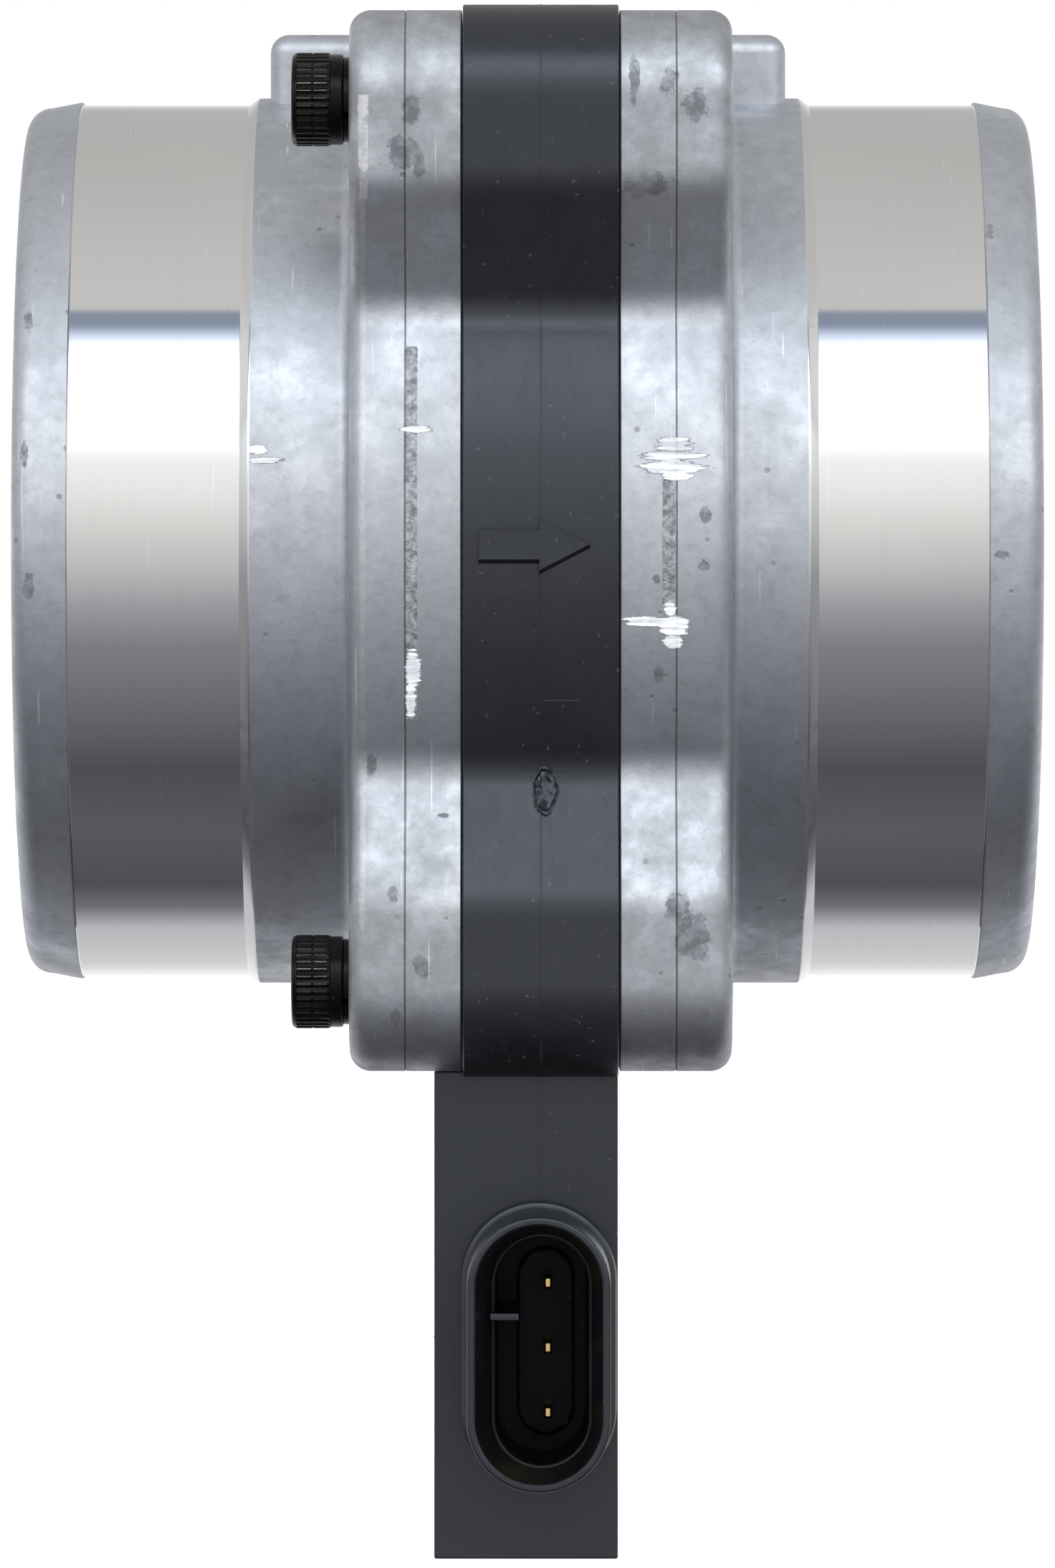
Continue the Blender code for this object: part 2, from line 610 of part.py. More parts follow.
def flange_screws():
    seat = INLET_FLANGE_X - 2 * HEAD_GAP - WASHER_THICKNESS
    knurl = seat - SCREW_COLLAR
    top = knurl - SCREW_KNURL
    end = OUTLET_FACE_X + SCREW_ENGAGEMENT
    profile = [(top, SCREW_HEAD_RADIUS - SCREW_CHAMFER), (top + SCREW_CHAMFER, SCREW_HEAD_RADIUS),
               (knurl, SCREW_HEAD_RADIUS), (knurl, SCREW_COLLAR_RADIUS), (seat, SCREW_COLLAR_RADIUS),
               (seat, SCREW_RADIUS), (end - SCREW_CHAMFER, SCREW_RADIUS),
               (end, SCREW_RADIUS - SCREW_CHAMFER)]
    for number, spot in enumerate(BOLTS, 1):
        piece = finish_piece(f"flange_screw_{number}", turned(profile, HOLE_STEPS, centre=spot), STEEL_BLACK)
        corner = SOCKET_FLATS / 2 / math.cos(math.radians(30))
        outline = arc(spot, corner, 0, 300, 5)
        levels = [(top - SOCKET_DEPTH, outline), (top + SOCKET_DEPTH, outline)]
        cut(piece, finish_piece(f"socket_{number}", layered(levels)))


def washers_and_sleeves():
    start = INLET_FLANGE_X - HEAD_GAP - WASHER_THICKNESS
    for number, spot in enumerate(BOLTS, 1):
        ring = tube_profile(CLEAR_RADIUS, WASHER_RADIUS, start, start + WASHER_THICKNESS)
        finish_piece(f"lock_washer_{number}", turned(ring, HOLE_STEPS, True, centre=spot), STEEL_BLACK)
        sleeve = tube_profile(CLEAR_RADIUS, SLEEVE_RADIUS, RING_START, RING_END)
        finish_piece(f"spacer_sleeve_{number}", turned(sleeve, HOLE_STEPS, True, centre=spot),
                     ((0.75, 0.62, 0.35), 0.35, 1.0))


def tube_profile(inner, outer, start, end):
    return [(start, inner), (start, outer), (end, outer), (end, inner)]


# ---- Seals and inlet screen ----------------------------------------------------------------
def seals():
    half = (SEAL_GROOVE_DEPTH + GAP) / 2 - GAP
    for name, x in (("inlet_seal", INLET_FACE_X - SEAL_GROOVE_DEPTH + GAP + half),
                    ("outlet_seal", OUTLET_FACE_X + SEAL_GROOVE_DEPTH - GAP - half)):
        section = arc((0.0, 0.0), 1.0, 0, 300, 5)
        ring = [(x + half * u, SEAL_RADIUS + SEAL_WIDTH / 2 * v) for u, v in section]
        finish_piece(name, turned(ring, ring=True), ((0.02, 0.02, 0.02), 0.7, 0.0))


def inlet_screen():
    end = SCREEN_SEAT_DEPTH - GAP
    start = end - SCREEN_THICKNESS
    radius = SCREEN_SEAT_RADIUS - GAP
    piece = finish_piece("inlet_screen", rod(radius, start, end, ROUND_STEPS), ((0.55, 0.56, 0.58), 0.35, 1.0))
    cells = bmesh.new()
    reach = int(radius / SCREEN_PITCH) + 1
    half = (SCREEN_PITCH - SCREEN_BAR) / 2
    for row in range(-reach, reach + 1):
        for column in range(-reach, reach + 1):
            y, z = row * SCREEN_PITCH, column * SCREEN_PITCH
            block((start - SCREEN_BAR, y - half, z - half), (end + SCREEN_BAR, y + half, z + half), cells)
    lattice = finish_piece("screen_cells", cells)
    inner = radius - SCREEN_RIM
    disc = finish_piece("screen_disc", rod(inner, start - 2 * SCREEN_BAR, end + 2 * SCREEN_BAR, ROUND_STEPS))
    combine(lattice, disc, "INTERSECT")
    cut(piece, lattice)

    clip_end = start - GAP
    clip = tube_profile(radius - SCREEN_RIM, radius, clip_end - CLIP_THICKNESS, clip_end)
    finish_piece("screen_retaining_ring", turned(clip, ring=True), ((0.45, 0.45, 0.46), 0.4, 1.0))


# ---- Electronics ---------------------------------------------------------------------------
def cover_and_seal():
    outline = grown(recess_outline(), -GAP)
    end = BOX_START + COVER_THICKNESS
    finish_piece("module_cover", layered([(BOX_START, outline), (end, outline)]),
                 ((0.03, 0.03, 0.034), 0.5, 0.0))
    outer = grown(tray_outline(LEDGE), LEDGE - GAP)
    inner = grown(tray_outline(LEDGE), LEDGE - GAP - COVER_SEAL_WIDTH)
    start = end + HEAD_GAP
    stop = start + COVER_SEAL_THICKNESS
    seal = finish_piece("cover_seal", layered([(start, outer), (stop, outer)]), ((0.15, 0.15, 0.16), 0.6, 0.0))
    cut(seal, finish_piece("seal_guide", layered(
        [(start - COVER_THICKNESS, inner), (stop + COVER_THICKNESS, inner)])))


def heat_sink():
    """Plate under the circuit board, with a stem up through the ring to fins in the duct."""
    near, far = TRAY_NEAR + LEDGE + GAP + BOARD_MARGIN, BOX_FAR - BOX_WALL - LEDGE - GAP - BOARD_MARGIN
    low = BOX_BOTTOM + BOX_WALL + LEDGE + GAP + BOARD_MARGIN
    high = BOX_TOP - BOX_WALL - LEDGE - GAP - BOARD_MARGIN
    left, right = FIN_MIDDLE_Y - STEM_WIDTH / 2, FIN_MIDDLE_Y + STEM_WIDTH / 2
    stem_top = FIN_BASE_Z + FIN_BASE_THICKNESS / 2
    outline = [(near, low), (far, low), (far, high), (right, high), (right, stem_top),
               (left, stem_top), (left, high), (near, high)]
    piece = finish_piece("heat_sink", layered([(PLATE_START, outline), (PLATE_END, outline)]),
                         ((0.7, 0.71, 0.73), 0.35, 1.0))
    fin_span = (FIN_COUNT - 1) * FIN_PITCH / 2
    end = PLATE_END + 2 * FLUSH_STEP
    base = block((end - FIN_LENGTH, FIN_MIDDLE_Y - FIN_BASE_HALF, FIN_BASE_Z),
                 (end, FIN_MIDDLE_Y + FIN_BASE_HALF, FIN_BASE_Z + FIN_BASE_THICKNESS))
    fins = bmesh.new()
    for number in range(FIN_COUNT):
        y = FIN_MIDDLE_Y - fin_span + number * FIN_PITCH
        block((end - FIN_LENGTH + FLUSH_STEP, y - FIN_THICKNESS / 2, FIN_BASE_Z + FIN_BASE_THICKNESS / 2),
              (end - FLUSH_STEP / 2, y + FIN_THICKNESS / 2, FIN_BASE_Z + FIN_BASE_THICKNESS + FIN_HEIGHT), fins)
    add(piece, finish_piece("fin_base", base), finish_piece("fins", fins))
    return piece


def circuit_board():
    near, far = TRAY_NEAR + LEDGE + GAP + BOARD_MARGIN, BOX_FAR - BOX_WALL - LEDGE - GAP - BOARD_MARGIN
    low = BOX_BOTTOM + BOX_WALL + LEDGE + GAP + BOARD_MARGIN
    high = BOX_TOP - BOX_WALL - LEDGE - GAP - BOARD_MARGIN
    finish_piece("circuit_board", block((BOARD_START, near, low), (BOARD_END, far, high)),
                 ((0.75, 0.74, 0.68), 0.5, 0.0))
    middle = (low + high) / 2
    face = BOARD_START - GAP
    board_chip("control_chip", face, (near + far) / 2 - CHIP_SIZE / 2, middle, CHIP_SIZE, CHIP_THICKNESS)
    board_chip("power_transistor", face, far - TRANSISTOR_SIZE, middle, TRANSISTOR_SIZE, TRANSISTOR_THICKNESS)


def board_chip(name, face, y, z, size, thickness):
    """A moulded package with sloped sides."""
    wide = box_outline(y - size / 2, y + size / 2, z - size / 2, z + size / 2, CHIP_CORNER)
    narrow = grown(wide, -CHIP_DRAFT)
    layers = [(face - thickness, narrow), (face - thickness / 2, wide), (face, narrow)]
    finish_piece(name, layered(layers), ((0.02, 0.02, 0.022), 0.6, 0.0))


# ---- Terminals and sensing elements --------------------------------------------------------
def pin_levels():
    return [SHROUD_Z + step * PIN_PITCH for step in (1, 0, -1)]


def terminals():
    tip = RIM_Y + PIN_TIP_DEPTH
    tail = TRAY_NEAR + LEDGE + GAP + BOARD_MARGIN + PIN_TAIL
    for number, level in enumerate(pin_levels(), 1):
        wide = box_outline(PIN_X - PIN_THICKNESS / 2, PIN_X + PIN_THICKNESS / 2,
                           level - PIN_WIDTH / 2, level + PIN_WIDTH / 2, PIN_CORNER)
        narrow = [(PIN_X + (u - PIN_X) * PIN_TIP_SHARE, level + (v - level) * PIN_TIP_SHARE)
                  for u, v in wide]
        layers = [(tip, narrow), (tip + PIN_TAPER, wide), (tail, wide)]
        finish_piece(f"terminal_{number}", layered(layers, "Y"), ((0.83, 0.62, 0.25), 0.28, 1.0))


def prong_spots():
    return [(RING_MIDDLE + side * ELEMENT_OFFSET, spread * PRONG_SPREAD)
            for side in (-1, 1) for spread in (-1, 1)]


def sensing_elements():
    for number, (x, y) in enumerate(prong_spots(), 1):
        outline = arc((x, y), PRONG_RADIUS, 0, 315, 7)
        finish_piece(f"element_prong_{number}", layered([(PRONG_FOOT, outline), (PRONG_TOP, outline)], "Z"),
                     ((0.6, 0.6, 0.58), 0.3, 1.0))
    reach = PRONG_SPREAD - PRONG_RADIUS - GAP
    for name, side in (("hot_element", -1), ("air_temp_element", 1)):
        centre = (RING_MIDDLE + side * ELEMENT_OFFSET, PRONG_TOP - ELEMENT_RADIUS)
        outline = arc(centre, ELEMENT_RADIUS, 0, 330, 11)
        finish_piece(name, layered([(-reach, outline), (reach, outline)], "Y"), ((0.85, 0.84, 0.8), 0.4, 0.0))


def build():
    clear_scene()
    inlet_housing()
    outlet_housing()
    sensor_body()
    flange_screws()
    washers_and_sleeves()
    seals()
    inlet_screen()
    cover_and_seal()
    heat_sink()
    circuit_board()
    terminals()
    sensing_elements()


build()
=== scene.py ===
"""Looks of the mass air flow sensor: fine meshes, procedural materials, light and camera."""
from math import asin, ceil, cos, degrees, hypot, pi, radians, sin, sqrt, tan

import bmesh
import bpy
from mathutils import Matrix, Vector
from mathutils.noise import fractal


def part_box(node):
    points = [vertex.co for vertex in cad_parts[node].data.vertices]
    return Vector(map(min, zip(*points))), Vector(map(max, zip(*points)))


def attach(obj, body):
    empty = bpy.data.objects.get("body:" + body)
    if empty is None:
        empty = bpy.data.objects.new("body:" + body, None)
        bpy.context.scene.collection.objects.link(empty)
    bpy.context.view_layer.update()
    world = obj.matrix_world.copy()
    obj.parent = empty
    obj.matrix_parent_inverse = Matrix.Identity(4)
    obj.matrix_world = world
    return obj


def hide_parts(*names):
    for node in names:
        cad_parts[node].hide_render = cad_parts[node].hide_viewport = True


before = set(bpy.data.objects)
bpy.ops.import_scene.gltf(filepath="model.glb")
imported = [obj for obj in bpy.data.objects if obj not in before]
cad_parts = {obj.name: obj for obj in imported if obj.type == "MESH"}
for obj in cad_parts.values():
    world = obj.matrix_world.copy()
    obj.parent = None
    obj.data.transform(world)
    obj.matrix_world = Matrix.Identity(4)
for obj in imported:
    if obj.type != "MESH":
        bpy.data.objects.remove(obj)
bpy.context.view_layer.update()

SCENE = bpy.context.scene
MM = 0.001

# ---- Stations and sizes, read from the frame ----
INLET_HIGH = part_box("inlet_housing")[1]
OUTLET_LOW, OUTLET_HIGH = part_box("outlet_housing")
BODY_LOW, BODY_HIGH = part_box("sensor_body")
SCREW_LOW, SCREW_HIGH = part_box("flange_screw_1")
COVER_LOW, COVER_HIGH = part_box("module_cover")
SCREEN_LOW, SCREEN_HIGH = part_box("inlet_screen")

TOTAL_LENGTH = OUTLET_HIGH[0]
INLET_FACE = INLET_HIGH[0]
OUTLET_FACE = OUTLET_LOW[0]
RING_END = BODY_HIGH[0]
RING_START = INLET_FACE + (OUTLET_FACE - RING_END)
RING_MIDDLE = (RING_START + RING_END) / 2
FLANGE_TOP = INLET_HIGH[2]
RING_PROUD = BODY_HIGH[2] - FLANGE_TOP

# Castings
FLANGE_RADIUS = INLET_HIGH[1]
FLANGE_THICKNESS = 11.05 * MM
BORE_RADIUS = 37.5 * MM
SEAT_RADIUS = 39.3 * MM
SEAT_DEPTH = 14.9 * MM
BAND_RADIUS = 44.45 * MM
LIP_RADIUS = 44.8 * MM
LIP_TAPER = 0.6 * MM
LIP_ROUND = 2.3 * MM
NECK_RADIUS = 45.2 * MM
NECK_CHAMFER = 1.0 * MM
NECK_FILLET = 1.2 * MM
FLANGE_EDGE = 2.1 * MM
SEAL_GROOVE = (39.2 * MM, 41.8 * MM, 2.0 * MM)
INLET_SIZES = (5.5 * MM, 17.0 * MM, 10.8 * MM, 8.6 * MM)      # lip, band, neck, boss
OUTLET_SIZES = (5.4 * MM, 16.8 * MM, 8.5 * MM, 6.1 * MM)

# Flange outline
WAIST_HALF = 22.5 * MM
WAIST_FILLET = 5.0 * MM
SLOPE_BEND = 7.0 * MM
BOLT_Y = -(SCREW_LOW[1] + SCREW_HIGH[1]) / 2
EAR_RADIUS = 8.8 * MM
BOLT_Z = FLANGE_TOP - EAR_RADIUS
SLOPE_END_HALF = BOLT_Z - 8.2 * MM
DIP_DEPTH = 1.7 * MM
DIP_START_HALF = BOLT_Y - 7.5 * MM
DIP_END_HALF = DIP_START_HALF - 6.0 * MM
DIP_BEND = 6.0 * MM
BOLTS = [(side * BOLT_Y, level * BOLT_Z) for side in (-1, 1) for level in (-1, 1)]
OUTLINE_SPACING = 0.8 * MM

BOSS_HALF_WIDTH = 9.0 * MM
BOSS_TOP = 51.4 * MM
BOSS_HEIGHT = 11.4 * MM
BOSS_ROUND = 1.9 * MM

# Moulding
JOINT_FILL = 0.2 * MM
BOX_NEAR = -40.0 * MM
BOX_FAR = 38.0 * MM
BOX_START = BODY_LOW[0]
BOX_TOP = -FLANGE_TOP - 0.05 * MM
SHROUD_X = RING_MIDDLE - 0.2 * MM
SHROUD_Z = -79.0 * MM
SHROUD_SIZE = (14.0 * MM, 26.8 * MM)
CAVITY_X = SHROUD_X + 0.3 * MM
CAVITY_SIZE = (9.1 * MM, 22.2 * MM)
RIM_Y = BODY_LOW[1]
SOCKET_FLOOR_Y = -36.5 * MM
SLEEVE_HOLE = 3.9 * MM
SCREW_HOLE = 2.8 * MM
TRAY_CORNERS = ((BOX_START + 2.4 * MM, -31.5 * MM, -95.7 * MM), (56.9 * MM, 33.4 * MM, -57.1 * MM))
STEM_SLOT_CORNERS = ((54.3 * MM, 8.7 * MM, -60 * MM), (56.85 * MM, 19.3 * MM, -31 * MM))
TAP_DEPTH = 8.8 * MM


# ---- Mesh helpers ----
def new_piece(name, shape, *materials):
    bmesh.ops.recalc_face_normals(shape, faces=shape.faces)
    mesh = bpy.data.meshes.new(name)
    shape.to_mesh(mesh)
    shape.free()
    piece = bpy.data.objects.new(name, mesh)
    SCENE.collection.objects.link(piece)
    for material in materials:
        mesh.materials.append(material)
    return piece


def combine(piece, shapes, operation):
    """Join a piece with shapes, or cut it by them."""
    for shape in shapes:
        other = new_piece("shape", shape, piece.data.materials[0])
        step = piece.modifiers.new("shape", "BOOLEAN")
        step.operation = operation
        step.solver = "MANIFOLD"
        step.object = other
        graph = bpy.context.evaluated_depsgraph_get()
        fresh = bpy.data.meshes.new_from_object(piece.evaluated_get(graph))
        old = piece.data
        piece.modifiers.clear()
        piece.data = fresh
        bpy.data.meshes.remove(old)
        bpy.data.objects.remove(other, do_unlink=True)


def shade(piece, angle=28.0):
    piece.data.shade_smooth()
    piece.data.set_sharp_from_angle(angle=radians(angle))
    weighted = piece.modifiers.new("even_shading", "WEIGHTED_NORMAL")
    weighted.keep_sharp = True
    weighted.weight = 80


def join_rows(shape, rows, closed=True):
    count = len(rows[0])
    for first, second in zip(rows, rows[1:]):
        for index in range(count if closed else count - 1):
            after = (index + 1) % count
            shape.faces.new((first[index], first[after], second[after], second[index]))


AXES = {
    "X": lambda level, u, v: (level, u, v),
    "Y": lambda level, u, v: (u, level, v),
    "Z": lambda level, u, v: (u, v, level),
}


def layered(layers, axis="X", ring=False, shape=None):
    """A solid through (level, outline) layers with equal point counts, or a closed ring."""
    shape = shape or bmesh.new()
    place = AXES[axis]
    rows = [[shape.verts.new(place(level, u, v)) for u, v in outline] for level, outline in layers]
    join_rows(shape, rows)
    if ring:
        join_rows(shape, [rows[-1], rows[0]])
        return shape
    for row in (rows[0], rows[-1]):
        cap = shape.faces.new(row)
        cap.normal_update()
        bmesh.ops.triangulate(shape, faces=[cap])
    return shape


def turned(profile, steps=128, ring=False, centre=(0.0, 0.0)):
    layers = [(x, circle(radius, steps, centre)) for x, radius in profile]
    return layered(layers, "X", ring)


def ring_section(start, end, inner, outer, edge):
    """Cross-section of a flat ring with chamfered edges, as (level, radius) points."""
    return [(start, inner + edge), (start, outer - edge), (start + edge, outer), (end - edge, outer),
            (end, outer - edge), (end, inner + edge), (end - edge, inner), (start + edge, inner)]


def polar(centre, radius, turn):
    return centre[0] + radius * cos(turn), centre[1] + radius * sin(turn)


def arc(centre, radius, start, end, steps):
    """Points along an arc between two angles in degrees."""
    return [polar(centre, radius, radians(start + (end - start) * step / steps))
            for step in range(steps + 1)]


def circle(radius, steps, centre=(0.0, 0.0)):
    return arc(centre, radius, 0, 360, steps)[:-1]


def block(low, high, edge=0.0, segments=3):
    """A box between two corners with rounded edges."""
    shape = bmesh.new()
    outline = [(low[1], low[2]), (high[1], low[2]), (high[1], high[2]), (low[1], high[2])]
    for level in (low[0], high[0]):
        for u, v in outline:
            shape.verts.new((level, u, v))
    corners = list(shape.verts)
    join_rows(shape, [corners[:4], corners[4:]])
    shape.faces.new(corners[:4])
    shape.faces.new(corners[4:])
    bmesh.ops.recalc_face_normals(shape, faces=shape.faces)
    if edge:
        bmesh.ops.bevel(shape, geom=shape.edges[:], offset=edge, segments=segments, profile=0.5,
                        affect="EDGES", clamp_overlap=True)
    return shape


def rounded(corners, quarter_steps=14):
    """A closed outline through (u, v, radius) corners, with each corner filleted."""
    outline = []
    for index, (u, v, radius) in enumerate(corners):
        here = Vector((u, v))
        if radius == 0.0:
            outline.append((u, v))
            continue
        before = (Vector(corners[index - 1][:2]) - here).normalized()
        after = (Vector(corners[(index + 1) % len(corners)][:2]) - here).normalized()
        half = before.angle(after) / 2
        middle = here + (before + after).normalized() * (radius / sin(half))
        first = here + before * (radius / tan(half)) - middle
        sweep = first.angle_signed(here + after * (radius / tan(half)) - middle)
        steps = max(4, round(abs(sweep) / radians(90) * quarter_steps))
        for step in range(steps + 1):
            turn = -sweep * step / steps
            outline.append((middle.x + first.x * cos(turn) - first.y * sin(turn),
                            middle.y + first.x * sin(turn) + first.y * cos(turn)))
    return outline


def grown(outline, amount):
    """The outline moved outwards by an amount, or inwards by a negative one."""
    count = len(outline)
    area = sum(outline[i - 1][0] * outline[i][1] - outline[i][0] * outline[i - 1][1] for i in range(count))
    side = 1 if area > 0 else -1
    moved = []
    for index in range(count):
        here = Vector(outline[index])
        first = (here - Vector(outline[index - 1])).normalized()
        second = (Vector(outline[(index + 1) % count]) - here).normalized()
        first_out = Vector((first.y, -first.x)) * side
        second_out = Vector((second.y, -second.x)) * side
        spot = here + (first_out + second_out) * (amount / (1 + first_out.dot(second_out)))
        moved.append((spot.x, spot.y))
    return moved


def resampled(outline, spacing):
    """The same outline with long stretches divided."""
    points = []
    for index, start in enumerate(outline):
        first, second = Vector(start), Vector(outline[(index + 1) % len(outline)])
        parts = max(1, ceil((second - first).length / spacing))
        points += [tuple(first.lerp(second, part / parts)) for part in range(parts)]
    return points


def stadium(middle_u, middle_v, width, height, steps=28):
    """An upright oval with round ends."""
    radius = width / 2
    straight = height / 2 - radius
    return (arc((middle_u, middle_v + straight), radius, 0, 180, steps)
            + arc((middle_u, middle_v - straight), radius, 180, 360, steps))


# ---- Flange outline ----
def flange_outline():
    ear_y = BOLT_Y + EAR_RADIUS
    ear_z = BOLT_Z + EAR_RADIUS
    waist_y = sqrt(FLANGE_RADIUS ** 2 - WAIST_HALF ** 2)
    waist_turn = degrees(asin(WAIST_HALF / FLANGE_RADIUS))
    side = [
        (DIP_END_HALF, -(ear_z - DIP_DEPTH), DIP_BEND),
        (DIP_START_HALF, -ear_z, DIP_BEND),
        (ear_y, -ear_z, EAR_RADIUS),
        (ear_y, -SLOPE_END_HALF, SLOPE_BEND),
        (waist_y, -WAIST_HALF, WAIST_FILLET),
    ]
    middle = arc((0, 0), FLANGE_RADIUS, -waist_turn, waist_turn, 60)[4:-4]
    right = side + [(y, z, 0.0) for y, z in middle] + [(y, -z, r) for y, z, r in reversed(side)]
    return resampled(rounded(right + [(-y, -z, r) for y, z, r in right]), OUTLINE_SPACING)


OUTLINE = flange_outline()


def front_of(z, outline=OUTLINE):
    """How far forward the outline's near side stands at a height."""
    for first, second in zip(outline, outline[1:] + outline[:1]):
        if first[0] < 0 and min(first[1], second[1]) <= z <= max(first[1], second[1]):
            share = (z - first[1]) / (second[1] - first[1] or 1.0)
            return first[0] + share * (second[0] - first[0])


def ring_row(radius):
    """A circle whose points stand at the same angles as the flange outline's."""
    points = []
    for y, z in OUTLINE:
        scale = radius / hypot(y, z)
        points.append((y * scale, z * scale))
    return points


# ---- Castings ----
def housing(name, place, sizes, seat, materials):
    lip, band, neck, boss = sizes
    flange = lip + band + neck
    face = flange + FLANGE_THICKNESS
    rows = []

    def add(*points):
        rows.extend((place(level), ring_row(radius)) for level, radius in points)

    mouth = SEAT_RADIUS if seat else BORE_RADIUS
    small = 0.25 * MM
    chamfer = lip + band + NECK_CHAMFER
    add((small, mouth), (0.0, mouth + (small if seat else 2 * small)))
    add(*arc((LIP_ROUND, LIP_RADIUS - LIP_TAPER - LIP_ROUND), LIP_ROUND, 180, 90, 10))
    add((lip - small, LIP_RADIUS - 0.03 * MM), (lip - 0.06 * MM, LIP_RADIUS - 0.06 * MM))
    add((lip, BAND_RADIUS + 0.1 * MM), (lip + 0.1 * MM, BAND_RADIUS))
    add((lip + band - 0.1 * MM, BAND_RADIUS), (lip + band, BAND_RADIUS + 0.05 * MM))
    add((chamfer - small, NECK_RADIUS - 0.12 * MM), (chamfer, NECK_RADIUS - 0.02 * MM))
    add((chamfer + small, NECK_RADIUS))
    add(*arc((flange - NECK_FILLET, NECK_RADIUS + NECK_FILLET), NECK_FILLET, -90, 0, 7))
    for step in range(11):
        turn = radians(9 * step)
        inset = FLANGE_EDGE * (1 - sin(turn))
        rows.append((place(flange + FLANGE_EDGE * (1 - cos(turn))), grown(OUTLINE, -inset)))
    parting = flange + FLANGE_THICKNESS / 2
    for offset, inset in ((-0.1, 0.0), (-0.03, 0.09), (0.03, 0.09), (0.1, 0.0)):
        rows.append((place(parting + offset * MM), grown(OUTLINE, -inset * MM)))
    rows.append((place(face - 0.12 * MM), OUTLINE))
    rows.append((place(face), grown(OUTLINE, -0.1 * MM)))
    inner, outer, depth = SEAL_GROOVE
    add((face, outer), (face - depth, outer), (face - depth, inner), (face, inner), (face, BORE_RADIUS))
    if seat:
        add((SEAT_DEPTH, BORE_RADIUS), (SEAT_DEPTH, SEAT_RADIUS))
    piece = new_piece(name, layered(rows, ring=True), *materials)

    start, end = sorted((place(flange - boss), place(flange + FLANGE_THICKNESS / 3)))
    boss_shape = block((start, -BOSS_HALF_WIDTH, BOSS_TOP - BOSS_HEIGHT), (end, BOSS_HALF_WIDTH, BOSS_TOP),
                       BOSS_ROUND, 6)
    combine(piece, [boss_shape], "UNION")
    depth = FLANGE_THICKNESS + EAR_RADIUS if seat else TAP_DEPTH
    levels = [(place(face - depth), SCREW_HOLE), (place(face + EAR_RADIUS), SCREW_HOLE)]
    combine(piece, [turned(levels, 40, centre=spot) for spot in BOLTS], "DIFFERENCE")
    paint_housing(piece, place, sizes)
    shade(piece)
    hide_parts(name.replace("_casting", "_housing"))
    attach(piece, "root")


CAST, BAND, MACHINED = 0, 1, 2


def paint_housing(piece, place, sizes):
    """Cast skin outside, turned finish on the hose band, bored finish inside and on the joint."""
    lip, band, neck, boss = sizes
    face = lip + band + neck + FLANGE_THICKNESS
    start, end = sorted((place(lip), place(lip + band + NECK_CHAMFER)))
    for polygon in piece.data.polygons:
        centre = polygon.center
        radius = hypot(centre.y, centre.z)
        polygon.material_index = CAST
        if start - 0.02 * MM < centre.x < end + 0.02 * MM and radius > BAND_RADIUS - MM:
            polygon.material_index = BAND
        elif radius < SEAT_RADIUS + 0.3 * MM or abs(centre.x - place(face)) < 0.05 * MM:
            polygon.material_index = MACHINED


# ---- Moulding ----
def sensor_moulding(material, socket_shade_material):
    ridge = 0.05 * MM
    proud = grown(OUTLINE, RING_PROUD - ridge)
    edge = 0.12 * MM
    start, end = RING_START - JOINT_FILL, RING_END + JOINT_FILL
    rows = [(start, grown(proud, -edge)), (start + edge, proud)]
    for offset, height in ((-0.13, 0.0), (-0.05, ridge), (0.05, ridge), (0.13, 0.0)):
        rows.append((RING_MIDDLE + offset * MM, grown(proud, height)))
    rows += [(end - edge, proud), (end, grown(proud, -edge))]
    rows += [(end, ring_row(BORE_RADIUS)), (start, ring_row(BORE_RADIUS))]
    piece = new_piece("sensor_moulding", layered(rows, ring=True), material, socket_shade_material)
    combine(piece, box_shapes() + connector_shapes() + surface_marks(), "UNION")
    duct = turned([(RING_START - 4 * MM, BORE_RADIUS), (RING_END + 4 * MM, BORE_RADIUS)], len(OUTLINE))
    combine(piece, [duct], "DIFFERENCE")
    combine(piece, pylon_shapes(), "UNION")
    combine(piece, hollow_shapes(), "DIFFERENCE")
    combine(piece, socket_details(), "UNION")
    combine(piece, pin_slots(), "DIFFERENCE")
    # painted shade: faces inside the socket cavity get a darker, duller copy of the nylon for the shade in
    # the recess
    for polygon in piece.data.polygons:
        spot = polygon.center
        if (RIM_Y + 5.4 * MM < spot.y < SOCKET_FLOOR_Y + 0.3 * MM and abs(spot.y - BOX_NEAR) > 0.2 * MM
                and abs(spot.x - CAVITY_X) < CAVITY_SIZE[0] / 2 + 0.1 * MM
                and abs(spot.z - SHROUD_Z) < CAVITY_SIZE[1] / 2 + 0.1 * MM):
            polygon.material_index = 1
    shade(piece)
    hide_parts("sensor_body")
    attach(piece, "root")


def box_shapes():
    end = RING_END + 0.16 * MM
    box = block((BOX_START, BOX_NEAR, BODY_LOW[2]), (end, BOX_FAR, BOX_TOP), 0.22 * MM)
    root_top = -(FLANGE_RADIUS + BORE_RADIUS) / 2
    root = block((RING_START + 0.1 * MM, BOX_NEAR - 0.01 * MM, BOX_TOP - 1.5 * MM),
                 (end - 0.02 * MM, BOX_FAR + 0.01 * MM, root_top))
    seam_half = 0.07 * MM
    seam = block((RING_MIDDLE - seam_half, BOX_NEAR - 0.12 * MM, SHROUD_Z),
                 (RING_MIDDLE + seam_half, BOX_NEAR + MM, BOX_TOP - 0.3 * MM))
    witness = block((BOX_START - 0.03 * MM, BOX_NEAR - 0.03 * MM, SHROUD_Z + 0.5 * MM),
                    (SHROUD_X - SHROUD_SIZE[0] / 2, BOX_NEAR + MM, SHROUD_Z + 0.62 * MM))
    return [box, root, seam, witness]


